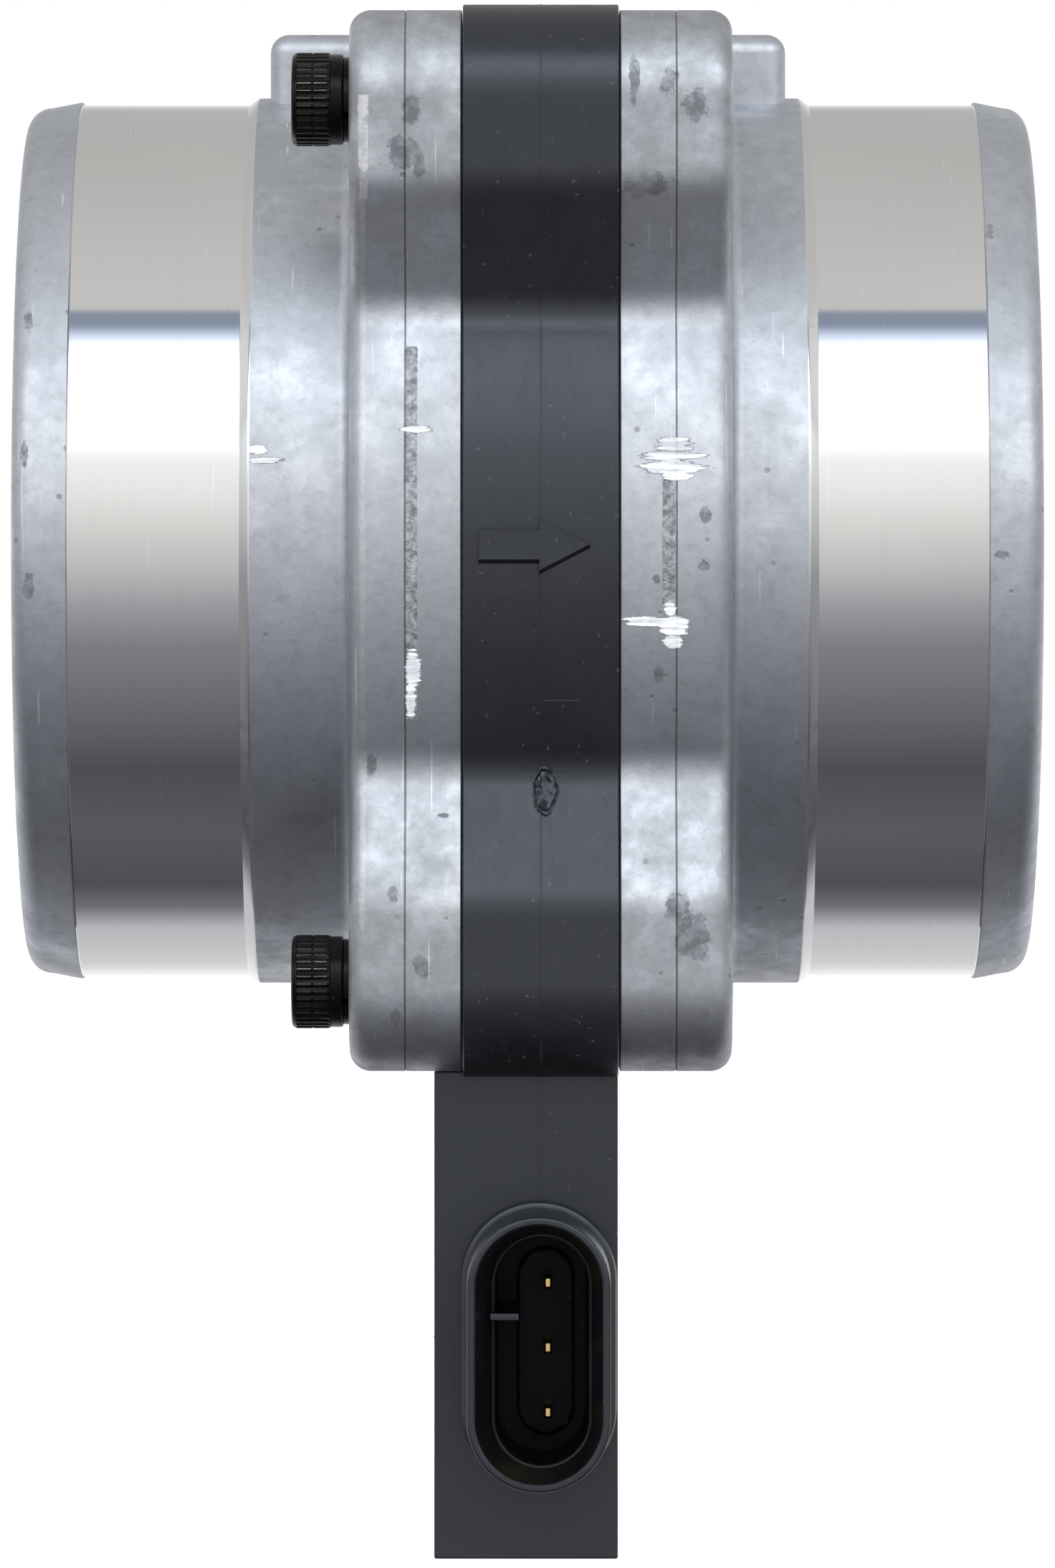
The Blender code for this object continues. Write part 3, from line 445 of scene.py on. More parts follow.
def connector_shapes():
    inside = BOX_NEAR + 3 * MM
    width, height = SHROUD_SIZE
    outline = stadium(SHROUD_X, SHROUD_Z, width, height)
    round_edge = 0.32 * MM
    rows = []
    for step in range(6):
        turn = radians(18 * step)
        inset = round_edge * (1 - cos(turn))
        rows.append((RIM_Y + round_edge * (1 - sin(turn)), grown(outline, -inset)))
    rows = rows[::-1]
    rows.append((inside, grown(outline, 0.12 * MM)))
    collar = grown(outline, 0.65 * MM)
    collar_y = BOX_NEAR - 3.0 * MM
    collar_rows = [(collar_y, grown(collar, -0.4 * MM)), (collar_y + 0.12 * MM, grown(collar, -0.12 * MM)),
                   (collar_y + 0.4 * MM, collar), (inside - 0.1 * MM, grown(collar, 0.1 * MM))]
    return [layered(rows, "Y"), layered(collar_rows, "Y")]


def surface_marks():
    """Raised flow arrow, and the faint lines that the mould leaves."""
    tail = RING_MIDDLE - 6.1 * MM
    neck = tail + 5.9 * MM
    shaft, head, drop = 1.52 * MM, 2.6 * MM, 0.4 * MM
    corners = [(tail, -shaft), (neck, -shaft), (neck, -head), (neck + 5.05 * MM, 0.0),
               (neck, head), (neck, shaft), (tail, shaft)]
    outline = [(x, z - drop) for x, z in corners]
    top = FLANGE_RADIUS + RING_PROUD
    lowered = [(x, z - 0.7 * MM) for x, z in outline]
    arrow = layered([(-top - 0.6 * MM, grown(outline, -0.1 * MM)),
                     (-top - 0.52 * MM, grown(outline, -0.02 * MM)), (-top + 0.8 * MM, lowered)], "Y")
    level, half = -15.6 * MM, 0.055 * MM
    near = front_of(level) - RING_PROUD
    witness = block((RING_MIDDLE + 0.2 * MM, near - 0.06 * MM, level - half),
                    (RING_MIDDLE + 3.9 * MM, near + 0.5 * MM, level + half))
    return [arrow, witness, gate_scar()]


def gate_scar():
    """Rough oval stub where the moulding's gate was broken off, lying on the slope of the ear."""
    middle_x, middle_z = RING_MIDDLE + 0.45 * MM, -24.4 * MM
    steps = 48
    rows = []
    for share, height in ((1.0, -1.0), (1.0, 0.24), (0.9, 0.32), (0.78, 0.14), (0.6, 0.24),
                          (0.42, 0.12), (0.2, 0.22)):
        row = []
        for step in range(steps):
            turn = 2 * pi * step / steps
            u, v = cos(turn), sin(turn)
            wobble = share * (1 + 0.14 * fractal(Vector((u, v, 3.1)) * 1.7, 0.8, 2.0, 3))
            x = middle_x + 1.3 * MM * u * wobble
            z = middle_z + 2.3 * MM * v * wobble
            rough = 0.17 * fractal(Vector((x, z, 0.0)) * 1700, 0.8, 2.0, 3) if height > 0 else 0.0
            row.append((x, front_of(z) - RING_PROUD - (height + rough) * MM, z))
        rows.append(row)
    shape = bmesh.new()
    rings = [[shape.verts.new(spot) for spot in row] for row in rows]
    join_rows(shape, rings)
    for ring in (rings[0], rings[-1]):
        bmesh.ops.triangulate(shape, faces=[shape.faces.new(ring)])
    return shape


def pylon_shapes():
    outline = [(u, v) for v, u in stadium(0.0, RING_MIDDLE, 8.0 * MM, 11.0 * MM, 20)]
    strut = layered([(-41.5 * MM, outline), (-6.35 * MM, outline)], "Z")
    radius, half = 8.0 * MM, 6.2 * MM
    edge = 0.8 * MM
    profile = [(RING_MIDDLE - half, radius - edge), (RING_MIDDLE - half + 0.25 * edge, radius - 0.25 * edge),
               (RING_MIDDLE - half + edge, radius), (RING_MIDDLE + half - edge, radius),
               (RING_MIDDLE + half - 0.25 * edge, radius - 0.25 * edge), (RING_MIDDLE + half, radius - edge)]
    return [strut, turned(profile, 64)]


def hollow_shapes():
    width, height = SHROUD_SIZE
    wall = 0.85 * MM
    mouth = stadium(SHROUD_X, SHROUD_Z, width - 2 * wall, height - 2 * wall)
    cavity = stadium(CAVITY_X, SHROUD_Z, *CAVITY_SIZE)
    ledge = RIM_Y + 5.2 * MM
    flare = 0.22 * MM
    inner_edge = stadium(CAVITY_X, SHROUD_Z, CAVITY_SIZE[0] + 0.5 * MM, CAVITY_SIZE[1] + 0.5 * MM)
    mouth_rows = [(RIM_Y - MM, grown(mouth, flare)), (RIM_Y, grown(mouth, flare)),
                  (RIM_Y + flare / 2, grown(mouth, 0.3 * flare)), (RIM_Y + flare, mouth),
                  (RIM_Y + 0.8 * MM, grown(mouth, -0.12 * MM)), (ledge, inner_edge)]
    cavity_rows = [(RIM_Y - MM, grown(cavity, flare)), (ledge, grown(cavity, flare)),
                   (ledge + flare / 2, grown(cavity, 0.3 * flare)), (ledge + flare, cavity),
                   (SOCKET_FLOOR_Y, grown(cavity, -0.25 * MM))]
    shapes = [layered(mouth_rows, "Y"), layered(cavity_rows, "Y")]
    shapes.append(turned([(RING_MIDDLE - 9 * MM, 6.2 * MM), (RING_MIDDLE - 4 * MM, 4.7 * MM),
                          (RING_MIDDLE + 9 * MM, 4.7 * MM)], 56))
    for spot in BOLTS:
        levels = [(RING_START - MM, SLEEVE_HOLE), (RING_END + MM, SLEEVE_HOLE)]
        shapes.append(turned(levels, 40, centre=spot))
    recess = rounded([(y, z, 3.3 * MM) for y, z in rectangle(COVER_LOW, COVER_HIGH, 0.3 * MM)], 8)
    shapes.append(layered([(BOX_START - MM, recess), (BOX_START + 3.2 * MM, recess)]))
    low, high = TRAY_CORNERS
    tray = rounded([(y, z, 3 * MM) for y, z in rectangle(low, high, 0.0)], 8)
    shapes.append(layered([(low[0], tray), (high[0], tray)]))
    shapes.append(block(*STEM_SLOT_CORNERS))
    for number in range(1, 5):
        low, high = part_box(f"element_prong_{number}")
        middle = ((low[0] + high[0]) / 2, (low[1] + high[1]) / 2)
        hole = circle(0.4 * MM, 24, middle)
        shapes.append(layered([(low[2] - 0.3 * MM, hole), (-2.4 * MM, hole)], "Z"))
    return shapes


def rectangle(low, high, grow):
    """Corners in the Y-Z plane of a box's outline, moved outwards."""
    return [(low[1] - grow, low[2] - grow), (high[1] + grow, low[2] - grow),
            (high[1] + grow, high[2] + grow), (low[1] - grow, high[2] + grow)]


def socket_details():
    """Coding rib and the raised island round the terminals."""
    wall = CAVITY_X - CAVITY_SIZE[0] / 2
    level = SHROUD_Z + 3.5 * MM
    rib = block((wall - 0.5 * MM, RIM_Y + 2.8 * MM, level - 0.33 * MM),
                (wall + 2.3 * MM, SOCKET_FLOOR_Y + 0.5 * MM, level + 0.33 * MM), 0.1 * MM, 2)
    island = stadium(CAVITY_X + 0.4 * MM, SHROUD_Z, 5.6 * MM, 18.6 * MM)
    top = SOCKET_FLOOR_Y - 1.2 * MM
    rows = [(top, grown(island, -0.3 * MM)), (top + 0.1 * MM, grown(island, -0.08 * MM)),
            (top + 0.3 * MM, island), (SOCKET_FLOOR_Y + 0.5 * MM, island)]
    return [rib, layered(rows, "Y")]


def pin_slots():
    slots = []
    for number in range(1, 4):
        low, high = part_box(f"terminal_{number}")
        gap = 0.02 * MM
        slots.append(block((low[0] - gap, -40 * MM, low[2] - gap), (high[0] + gap, -29 * MM, high[2] + gap)))
    return slots


# ---- Fasteners ----
def screw(number, material, crest_wear_and_highlight_material):
    """Socket head cap screw with a straight knurl in two rows."""
    low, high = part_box(f"flange_screw_{number}")
    centre = ((low[1] + high[1]) / 2, (low[2] + high[2]) / 2)
    top, end = low[0], high[0]
    head, collar, shank = 4.6 * MM, 4.47 * MM, 2.5 * MM
    knurl_end = top + 3.8 * MM
    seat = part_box(f"lock_washer_{number}")[0][0] - 0.02 * MM
    ridge = (0.0, 0.0, 0.33, 0.67, 1.0, 1.0, 0.67, 0.33)
    points = len(ridge)
    steps = 38 * points

    def row(x, radius, cut=0.0):
        outline = []
        for step in range(steps):
            turn = 2 * pi * step / steps
            depth = cut * ridge[step % points]
            outline.append(polar(centre, radius - depth, turn))
        return x, outline

    deep = 0.13 * MM
    rim = ((0, 0.62), (0.04, 0.4), (0.16, 0.2), (0.36, 0.07), (0.5, 0.02))
    layers = [row(top + x * MM, head - inset * MM) for x, inset in rim]
    groove = (top + knurl_end) / 2 + 0.2 * MM
    layers += [row(top + 0.6 * MM, head, deep), row(groove - 0.12 * MM, head, deep),
               row(groove, head - 0.08 * MM, deep * 0.6), row(groove + 0.12 * MM, head, deep),
               row(knurl_end - 0.3 * MM, head, deep), row(knurl_end - 0.05 * MM, head - 0.05 * MM),
               row(knurl_end + 0.1 * MM, collar), row(seat - 0.15 * MM, collar),
               row(seat, collar - 0.15 * MM), row(seat, shank + 0.2 * MM), row(seat + 0.2 * MM, shank),
               row(end - 0.4 * MM, shank), row(end, shank - 0.4 * MM)]
    piece = new_piece(f"cap_screw_{number}", layered(layers), material, crest_wear_and_highlight_material)
    corner = 4.0 * MM / 2 / cos(radians(30))
    hexagon = arc(centre, corner, 0, 300, 5)
    levels = [(top - MM, grown(hexagon, 0.12 * MM)), (top, grown(hexagon, 0.12 * MM)),
              (top + 0.15 * MM, hexagon), (top + 2.5 * MM, hexagon)]
    combine(piece, [layered(levels)], "DIFFERENCE")
    # knurl crests get a brighter metal: partly polished wear, partly a painted highlight
    for polygon in piece.data.polygons:
        spot = polygon.center
        out = hypot(spot.y - centre[0], spot.z - centre[1])
        if out > head - 0.012 * MM and top + 0.6 * MM < spot.x < knurl_end - 0.3 * MM:
            polygon.material_index = 1
    shade(piece, 18)
    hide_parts(f"flange_screw_{number}")
    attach(piece, "root")


def spring_washer(number, material):
    """Split lock washer: one turn of square wire with a slanted gap."""
    low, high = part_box(f"lock_washer_{number}")
    centre = ((low[1] + high[1]) / 2, (low[2] + high[2]) / 2)
    inner, outer = 2.8 * MM, (high[1] - low[1]) / 2 - 0.02 * MM
    start, end = low[0], INLET_FACE - FLANGE_THICKNESS - 0.02 * MM
    gap = radians(9)
    steps = 96
    shape = bmesh.new()
    rows = []
    section = ring_section(start, end, inner, outer, 0.07 * MM)
    for step in range(steps + 1):
        base = gap / 2 + (2 * pi - gap) * step / steps + radians(200)
        row = []
        for x, radius in section:
            turn = base + gap * 0.5 * (radius - inner) / (outer - inner)
            row.append(shape.verts.new((x, *polar(centre, radius, turn))))
        rows.append(row)
    join_rows(shape, rows)
    shape.faces.new(rows[0])
    shape.faces.new(rows[-1])
    piece = new_piece(f"spring_washer_{number}", shape, material)
    shade(piece)
    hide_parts(f"lock_washer_{number}")
    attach(piece, "root")


# ---- Inlet screen ----
def woven_screen(material):
    """Plain weave of fine wire, crimped into a rim."""
    middle = (SCREEN_LOW[0] + SCREEN_HIGH[0]) / 2
    outer = SCREEN_HIGH[1] + 0.02 * MM
    inner = outer - 1.4 * MM
    pitch, wire = 1.7 * MM, 0.16 * MM
    half = (SCREEN_HIGH[0] - SCREEN_LOW[0]) / 2
    rim = ring_section(middle - half, middle + half, inner, outer, 0.2 * MM)
    shape = turned(rim, 128, ring=True)
    count = int(inner / pitch)
    for across in (False, True):
        for line in range(-count, count + 1):
            offset = line * pitch
            reach = sqrt(max(0.0, (inner + 0.3 * MM) ** 2 - offset ** 2))
            wire_tube(shape, middle, offset, reach, pitch, wire, across, line)
    piece = new_piece("woven_screen", shape, material)
    shade(piece, 50)
    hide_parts("inlet_screen")
    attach(piece, "root")


def wire_tube(shape, middle, offset, reach, pitch, wire, across, line):
    points = max(4, round(2 * reach / pitch * 4))
    sides = 6
    rows = []
    for point in range(points + 1):
        along = -reach + 2 * reach * point / points
        phase = pi * (along / pitch + line + (1 if across else 0))
        x = middle + wire * sin(phase + pi / 2) * (-1 if across else 1)
        row = []
        for side in range(sides):
            turn = 2 * pi * side / sides
            u, v = wire * cos(turn), wire * sin(turn)
            spot = (x + u, along, offset + v) if across else (x + u, offset + v, along)
            row.append(shape.verts.new(spot))
        rows.append(row)
    join_rows(shape, rows)
    shape.faces.new(rows[0])
    shape.faces.new(rows[-1])


# ---- Material helpers ----
def feed(socket, value):
    """Give a node's input a value, or link another node's output to it."""
    if isinstance(value, bpy.types.NodeSocket):
        socket.id_data.links.new(value, socket)
    else:
        socket.default_value = value


def fill_ramp(ramp, stops):
    while len(ramp.elements) < len(stops):
        ramp.elements.new(0.5)
    for element, (where, colour) in zip(ramp.elements, stops):
        element.position = where
        element.color = (*colour, 1.0)


class Look:
    """A Principled material with short calls for the nodes that feed it."""

    def __init__(self, name, **values):
        self.material = bpy.data.materials.new(name)
        self.material.use_nodes = True
        self.tree = self.material.node_tree
        self.shader = self.tree.nodes["Principled BSDF"]
        for socket, value in values.items():
            socket = socket.replace("_", " ").title().replace("Ior", "IOR")
            self.shader.inputs[socket].default_value = value
        coordinates = self.tree.nodes.new("ShaderNodeTexCoord")
        self.place = coordinates.outputs["Object"]
        self.height = None

    def node(self, kind, **inputs):
        node = self.tree.nodes.new(kind)
        for name, value in inputs.items():
            feed(node.inputs[name.replace("_", " ")], value)
        return node

    def stretch(self, x, y, z):
        return self.node("ShaderNodeMapping", Vector=self.place, Scale=(x, y, z)).outputs["Vector"]

    def noise(self, scale, detail=4.0, rough=0.55, place=None):
        return self.node("ShaderNodeTexNoise", Vector=place or self.place, Scale=scale, Detail=detail,
                         Roughness=rough).outputs["Fac"]

    def cells(self, scale):
        return self.node("ShaderNodeTexVoronoi", Vector=self.place, Scale=scale).outputs["Distance"]

    def ramp(self, value, *stops):
        """Smooth steps from value to output: stops are (place, number or colour)."""
        node = self.node("ShaderNodeValToRGB", Fac=value)
        fill_ramp(node.color_ramp, [(where, level if isinstance(level, tuple) else (level,) * 3)
                                    for where, level in stops])
        return node.outputs["Color"]

    def operate(self, kind, operation, first, second):
        node = self.tree.nodes.new(kind)
        node.operation = operation
        feed(node.inputs[0], first)
        feed(node.inputs[1], second)
        return node.outputs

    def math(self, operation, first, second=0.0):
        return self.operate("ShaderNodeMath", operation, first, second)[0]

    def times(self, first, second):
        return self.math("MULTIPLY", first, second)

    def mix(self, factor, first, second):
        node = self.tree.nodes.new("ShaderNodeMix")
        node.data_type = "RGBA"
        feed(node.inputs[0], factor)
        for socket, value in ((node.inputs[6], first), (node.inputs[7], second)):
            feed(socket, (*value, 1.0) if isinstance(value, tuple) else value)
        return node.outputs[2]

    def tint(self, colour, mask, amount, shade):
        """The colour, moved towards a shade by an amount where the mask is 1."""
        return self.mix(self.times(mask, amount), colour, shade)

    def parts(self):
        return self.node("ShaderNodeSeparateXYZ", Vector=self.place).outputs

    def bump(self, height, distance, strength=1.0):
        inputs = {"Height": height, "Distance": distance, "Strength": strength}
        if self.height is not None:
            inputs["Normal"] = self.height
        self.height = self.node("ShaderNodeBump", **inputs).outputs["Normal"]
        feed(self.shader.inputs["Normal"], self.height)

    def colour(self, value):
        feed(self.shader.inputs["Base Color"], value)

    def roughness(self, value):
        feed(self.shader.inputs["Roughness"], value)

    def spot(self, centre, size, edge, ragged=None, amount=0.0):
        """1 inside an ellipsoid at a centre, 0 outside, its edge torn by a ragged value."""
        kind = "ShaderNodeVectorMath"
        apart = self.operate(kind, "SUBTRACT", self.place, centre)[0]
        share = self.operate(kind, "DIVIDE", apart, size)[0]
        distance = self.operate(kind, "LENGTH", share, (0.0, 0.0, 0.0))["Value"]
        if ragged is not None:
            shift = self.times(self.math("SUBTRACT", ragged, 0.5), amount)
            distance = self.math("ADD", distance, shift)
        return self.ramp(self.times(distance, 0.5), (0.5 - edge / 2, 1.0), (0.5, 0.0))

    def either(self, masks):
        """The strongest of several masks."""
        strongest = masks[0]
        for mask in masks[1:]:
            strongest = self.math("MAXIMUM", strongest, mask)
        return strongest


# ---- Materials ----
NEAR = -47.5 * MM


def cast_aluminium():
    """Die-cast skin: cloudy tone, fine pits and scratches, stains, torn flash on the partings, painted shade
    on the ears, and worn edges with a painted highlight.
    """
    look = Look("cast_aluminium", metallic=1.0)
    broad = look.noise(42.0, 5.0, 0.62)
    cloudy = look.noise(170.0, 7.0, 0.68)
    fine = look.noise(700.0, 6.0, 0.7)
    streaks = look.noise(1.0, 4.0, 0.72, look.stretch(170.0, 170.0, 2300.0))
    colour = look.mix(look.ramp(broad, (0.35, 0.0), (0.65, 1.0)), (0.53, 0.548, 0.585), (0.66, 0.68, 0.72))
    colour = look.tint(colour, look.ramp(cloudy, (0.44, 0.0), (0.62, 1.0)), 0.30, (0.42, 0.43, 0.46))
    colour = look.tint(colour, look.ramp(cloudy, (0.34, 1.0), (0.46, 0.0)), 0.35, (0.80, 0.82, 0.86))
    colour = look.tint(colour, look.ramp(fine, (0.50, 0.0), (0.66, 1.0)), 0.30, (0.36, 0.37, 0.39))
    # painted shade: the ears' colour is darkened to dim their reflections
    ear_painted_shade = look.ramp(cloudy, (0.40, 0.12), (0.60, 0.60))
    colour = look.tint(colour, ear_painted_shade_mask(look), ear_painted_shade, (0.36, 0.365, 0.38))
    sparse = look.ramp(look.noise(75.0, 3.0, 0.6), (0.50, 0.0), (0.60, 1.0))
    pits = look.times(look.ramp(look.cells(330.0), (0.07, 1.0), (0.12, 0.0)), sparse)
    colour = look.tint(colour, pits, 0.55, (0.20, 0.20, 0.21))

    blotch = look.noise(460.0, 8.0, 0.78)
    stains = near_spots(look, STAINS, 0.2, blotch, 3.4)
    stains = look.times(stains, look.ramp(fine, (0.42, 0.5), (0.55, 1.0)))
    colour = look.tint(colour, stains, 0.66, (0.17, 0.175, 0.19))
    tanned = look.spot((32.0 * MM, -40 * MM, 33.4 * MM), (3.2 * MM, 12 * MM, 3.0 * MM), 0.9, broad, 1.2)
    colour = look.tint(colour, tanned, 0.45, (0.38, 0.33, 0.27))

    # worn flange edges: partly real wear, partly a painted highlight along the rounded edge
    worn_edge_and_highlight = look.either([look.times(line_mask(look, *place, blotch, 0.9), strength)
                        for *place, strength in WORN_EDGE_AND_HIGHLIGHT])
    worn_edge_and_highlight = look.times(worn_edge_and_highlight, look.ramp(fine, (0.42, 0.25), (0.52, 1.0)))
    colour = look.tint(colour, worn_edge_and_highlight, 0.75, (0.93, 0.92, 0.91))
    crumbs = look.noise(1300.0, 5.0, 0.72)
    strip = look.either([line_mask(look, *place, crumbs, 0.3) for place in STRIPS])
    strip = look.times(strip, look.math("LESS_THAN", look.parts()["Y"], 0.0))
    ground = look.mix(look.ramp(crumbs, (0.38, 0.0), (0.62, 1.0)), (0.29, 0.295, 0.31), (0.70, 0.71, 0.73))
    colour = look.mix(strip, colour, ground)
    parting = look.either([line_mask(look, x / MM, -60.0, 60.0, 0.045, crumbs, 0.08) for x in PARTINGS])
    colour = look.tint(colour, parting, 0.65, (0.08, 0.082, 0.09))
    shreds = look.math("ADD", look.times(crumbs, 0.35), look.times(streaks, 0.65))
    torn = near_spots(look, TORN, 0.12, shreds, 2.6)
    flash = look.mix(look.ramp(streaks, (0.4, 0.0), (0.55, 1.0)), (1.0, 1.0, 1.0), (0.6, 0.62, 0.65))
    colour = look.mix(torn, colour, flash)
    look.colour(look.tint(colour, scratch_mask(look), 0.55, (0.95, 0.95, 0.97)))
    feed(look.shader.inputs["Metallic"], look.math("SUBTRACT", 1.0, look.times(torn, 0.75)))
    smooth = look.ramp(cloudy, (0.32, 0.40), (0.68, 0.56))
    look.roughness(look.mix(look.either([strip, torn, stains]), smooth, (0.62, 0.62, 0.62)))
    look.bump(cloudy, 0.12 * MM, 0.45)
    look.bump(fine, 0.05 * MM, 0.5)
    look.bump(look.times(torn, streaks), 0.35 * MM, 0.8)
    look.bump(look.times(strip, crumbs), 0.2 * MM, 0.9)
    look.bump(look.math("SUBTRACT", 1.0, pits), 0.05 * MM, 0.6)
    return look.material


# (x, z, half width, half height) in mm on the near side
STAINS = [(39.6, 42.0, 0.9, 2.0), (38.7, 37.9, 1.7, 1.5), (62.4, 34.6, 2.6, 1.2), (64.6, 44.8, 1.0, 1.4),
          (67.2, 42.5, 1.2, 1.6), (68.2, 2.4, 0.55, 0.8), (68.0, -2.5, 0.6, 0.6), (63.4, -3.8, 0.35, 0.5),
          (63.6, -13.0, 0.4, 0.9), (67.0, -38.6, 1.9, 2.2), (65.2, -35.6, 1.3, 1.4), (42.6, -26.9, 0.55, 0.2),
          (97.3, -1.4, 0.8, 0.5), (96.6, 30.6, 0.5, 0.9), (35.5, -22.0, 0.5, 1.2), (61.2, 45.2, 0.5, 2.4),
          (1.6, 21.5, 0.5, 1.4), (1.4, 8.5, 0.4, 1.8), (1.8, -4.5, 0.5, 1.2), (40.2, 36.8, 0.6, 1.6),
          (40.4, -41.6, 0.9, 1.2), (37.9, -46.6, 0.5, 0.9), (37.7, -34.6, 0.5, 0.8)]
TORN = [(65.2, 9.3, 1.9, 1.0), (64.9, 8.3, 3.3, 0.6), (65.1, 7.2, 3.2, 0.7), (65.4, 6.3, 1.4, 0.5),
        (64.7, -6.6, 0.6, 0.8), (65.1, -8.3, 1.5, 1.0), (62.8, -7.9, 2.8, 0.5), (65.0, -9.9, 1.0, 0.9),
        (39.9, 10.9, 1.5, 0.35), (39.6, -12.6, 0.9, 1.8), (39.4, -15.6, 0.6, 1.8),
        (25.2, 7.9, 1.9, 0.35), (24.3, 8.9, 1.0, 0.4)]
# (x, lowest z, highest z, half width) in mm, and for the worn edge with its painted highlight how strongly it
# shows
STRIPS = [(39.45, -17.5, 19.0, 0.56), (64.6, -6.3, 6.4, 0.62)]
WORN_EDGE_AND_HIGHLIGHT = [(34.75, 33.4, 43.5, 0.45, 1.0), (34.65, -38.0, 33.4, 0.28, 0.35)]
PARTINGS = [INLET_FACE - FLANGE_THICKNESS / 2, OUTLET_FACE + FLANGE_THICKNESS / 2]


def near_spots(look, places, edge, ragged, amount):
    return look.either([look.spot((x * MM, NEAR, z * MM), (u * MM, 30 * MM, v * MM), edge, ragged, amount)
                        for x, z, u, v in places])


def ear_painted_shade_mask(look):
    """1 on the four ears of each flange, where painted shade darkens the colour to dim their reflections."""
    parts = look.parts()
    height = look.math("ABSOLUTE", parts["Z"])
    inside = look.times(look.math("GREATER_THAN", parts["X"], 33.4 * MM),
                       look.math("LESS_THAN", parts["X"], 70.9 * MM))
    return look.times(inside, look.ramp(look.times(height, 10.0), (0.21, 0.0), (0.27, 1.0)))


def line_mask(look, x, low, high, half, ragged, wander):
    """A narrow band along a flange's side, between two heights, with a ragged edge."""
    parts = look.parts()
    across = look.math("ABSOLUTE", look.math("SUBTRACT", parts["X"], x * MM))
    across = look.math("ADD", across, look.times(look.math("SUBTRACT", ragged, 0.5), wander * MM))
    inside = look.math("LESS_THAN", across, half * MM)
    along = look.times(look.math("GREATER_THAN", parts["Z"], low * MM),
                      look.math("LESS_THAN", parts["Z"], high * MM))
    return look.times(inside, along)


def scratch_mask(look):
    """Short bright hairlines at three slants."""
    lines = []
    for number, slant in enumerate((0.5, -0.9, 1.7)):
        turned_place = look.node("ShaderNodeMapping", Vector=look.place, Rotation=(0.0, slant, number * 0.4),
                                 Scale=(2400.0, 200.0, 55.0)).outputs["Vector"]
        lines.append(look.ramp(look.noise(1.0, 1.0, 0.4, turned_place), (0.765, 0.0), (0.80, 1.0)))
    return look.either(lines)


def turned_band():
    """Fine turning marks run round the band."""
    look = Look("turned_band", metallic=1.0)
    rings = look.noise(1.0, 3.0, 0.6, look.stretch(2600.0, 6.0, 6.0))
    slow = look.noise(30.0, 3.0, 0.5)
    colour = look.mix(look.ramp(slow, (0.3, 0.0), (0.7, 1.0)), (0.785, 0.78, 0.77), (0.83, 0.825, 0.815))
    colour = look.tint(colour, look.ramp(rings, (0.35, 0.0), (0.75, 1.0)), 0.10, (0.62, 0.62, 0.62))
    look.colour(look.tint(colour, scratch_mask(look), 0.4, (0.95, 0.95, 0.95)))
    look.roughness(look.ramp(rings, (0.3, 0.05), (0.7, 0.075)))
    look.bump(rings, 0.006 * MM, 0.2)
    return look.material


def bored_aluminium():
    look = Look("bored_aluminium", metallic=1.0)
    rings = look.noise(1.0, 4.0, 0.6, look.stretch(1400.0, 30.0, 30.0))
    look.colour(look.mix(rings, (0.58, 0.59, 0.61), (0.72, 0.73, 0.75)))
    look.roughness(look.ramp(rings, (0.3, 0.26), (0.7, 0.4)))
    look.bump(rings, 0.03 * MM, 0.5)
    return look.material


def black_nylon(name="black_nylon", tone=0.0042, specular=0.88):
    """Glass-filled moulding: near black, faintly cloudy, with a fine grain and pale specks."""
    look = Look(name, specular_ior_level=specular, specular_tint=(0.82, 0.88, 1.0, 1.0))
    cloud = look.noise(130.0, 6.0, 0.65)
    grain = look.noise(2400.0, 3.0, 0.65)
    drawn = look.noise(1.0, 4.0, 0.6, look.stretch(900.0, 900.0, 60.0))
    dark = (tone * 0.85, tone * 0.88, tone * 0.95)
    light = (tone * 1.5, tone * 1.55, tone * 1.7)
    colour = look.mix(look.ramp(cloud, (0.35, 0.0), (0.7, 1.0)), dark, light)
    specks = look.ramp(look.noise(1500.0, 2.0, 0.5), (0.70, 0.0), (0.76, 1.0))
    colour = look.tint(colour, specks, 0.8, (0.05, 0.05, 0.055))
    scuff = look.spot((52.8 * MM, -41.0 * MM, -47.6 * MM), (0.6 * MM, 6 * MM, 0.28 * MM), 0.3, grain, 1.2)
    look.colour(look.mix(scuff, colour, (0.30, 0.30, 0.31)))
    rough = look.ramp(look.noise(260.0, 6.0, 0.7), (0.3, 0.27), (0.7, 0.36))
    look.roughness(look.mix(look.ramp(drawn, (0.4, 0.0), (0.7, 0.5)), rough, (0.42, 0.42, 0.42)))
    look.bump(cloud, 0.10 * MM, 0.3)
    look.bump(grain, 0.02 * MM, 0.4)
    return look.material


def black_oxide():
    look = Look("black_oxide", metallic=0.9)
    wear = look.ramp(look.noise(900.0, 6.0, 0.7), (0.62, 0.0), (0.74, 1.0))
    look.colour(look.mix(wear, (0.012, 0.0115, 0.0105), (0.07, 0.065, 0.05)))
    look.roughness(look.ramp(look.noise(700.0, 5.0, 0.6), (0.3, 0.16), (0.7, 0.28)))
    look.bump(look.noise(2600.0, 4.0, 0.6), 0.015 * MM, 0.4)
    return look.material


def plain(name, light, dark, smooth, rough, scale=600.0, bump=0.03, metallic=0.0):
    """A finish whose tone and roughness follow one noise."""
    look = Look(name, metallic=metallic)
    tone = look.noise(scale, 5.0, 0.6)
    look.colour(look.mix(tone, dark, light))
    look.roughness(look.ramp(tone, (0.3, smooth), (0.7, rough)))
    look.bump(look.noise(scale * (4 if metallic else 3), 4.0, 0.6), bump * MM, 0.5)
    return look.material


def metal(name, light, dark, smooth, rough, scale=600.0, bump=0.02):
    return plain(name, light, dark, smooth, rough, scale, bump, 1.0)


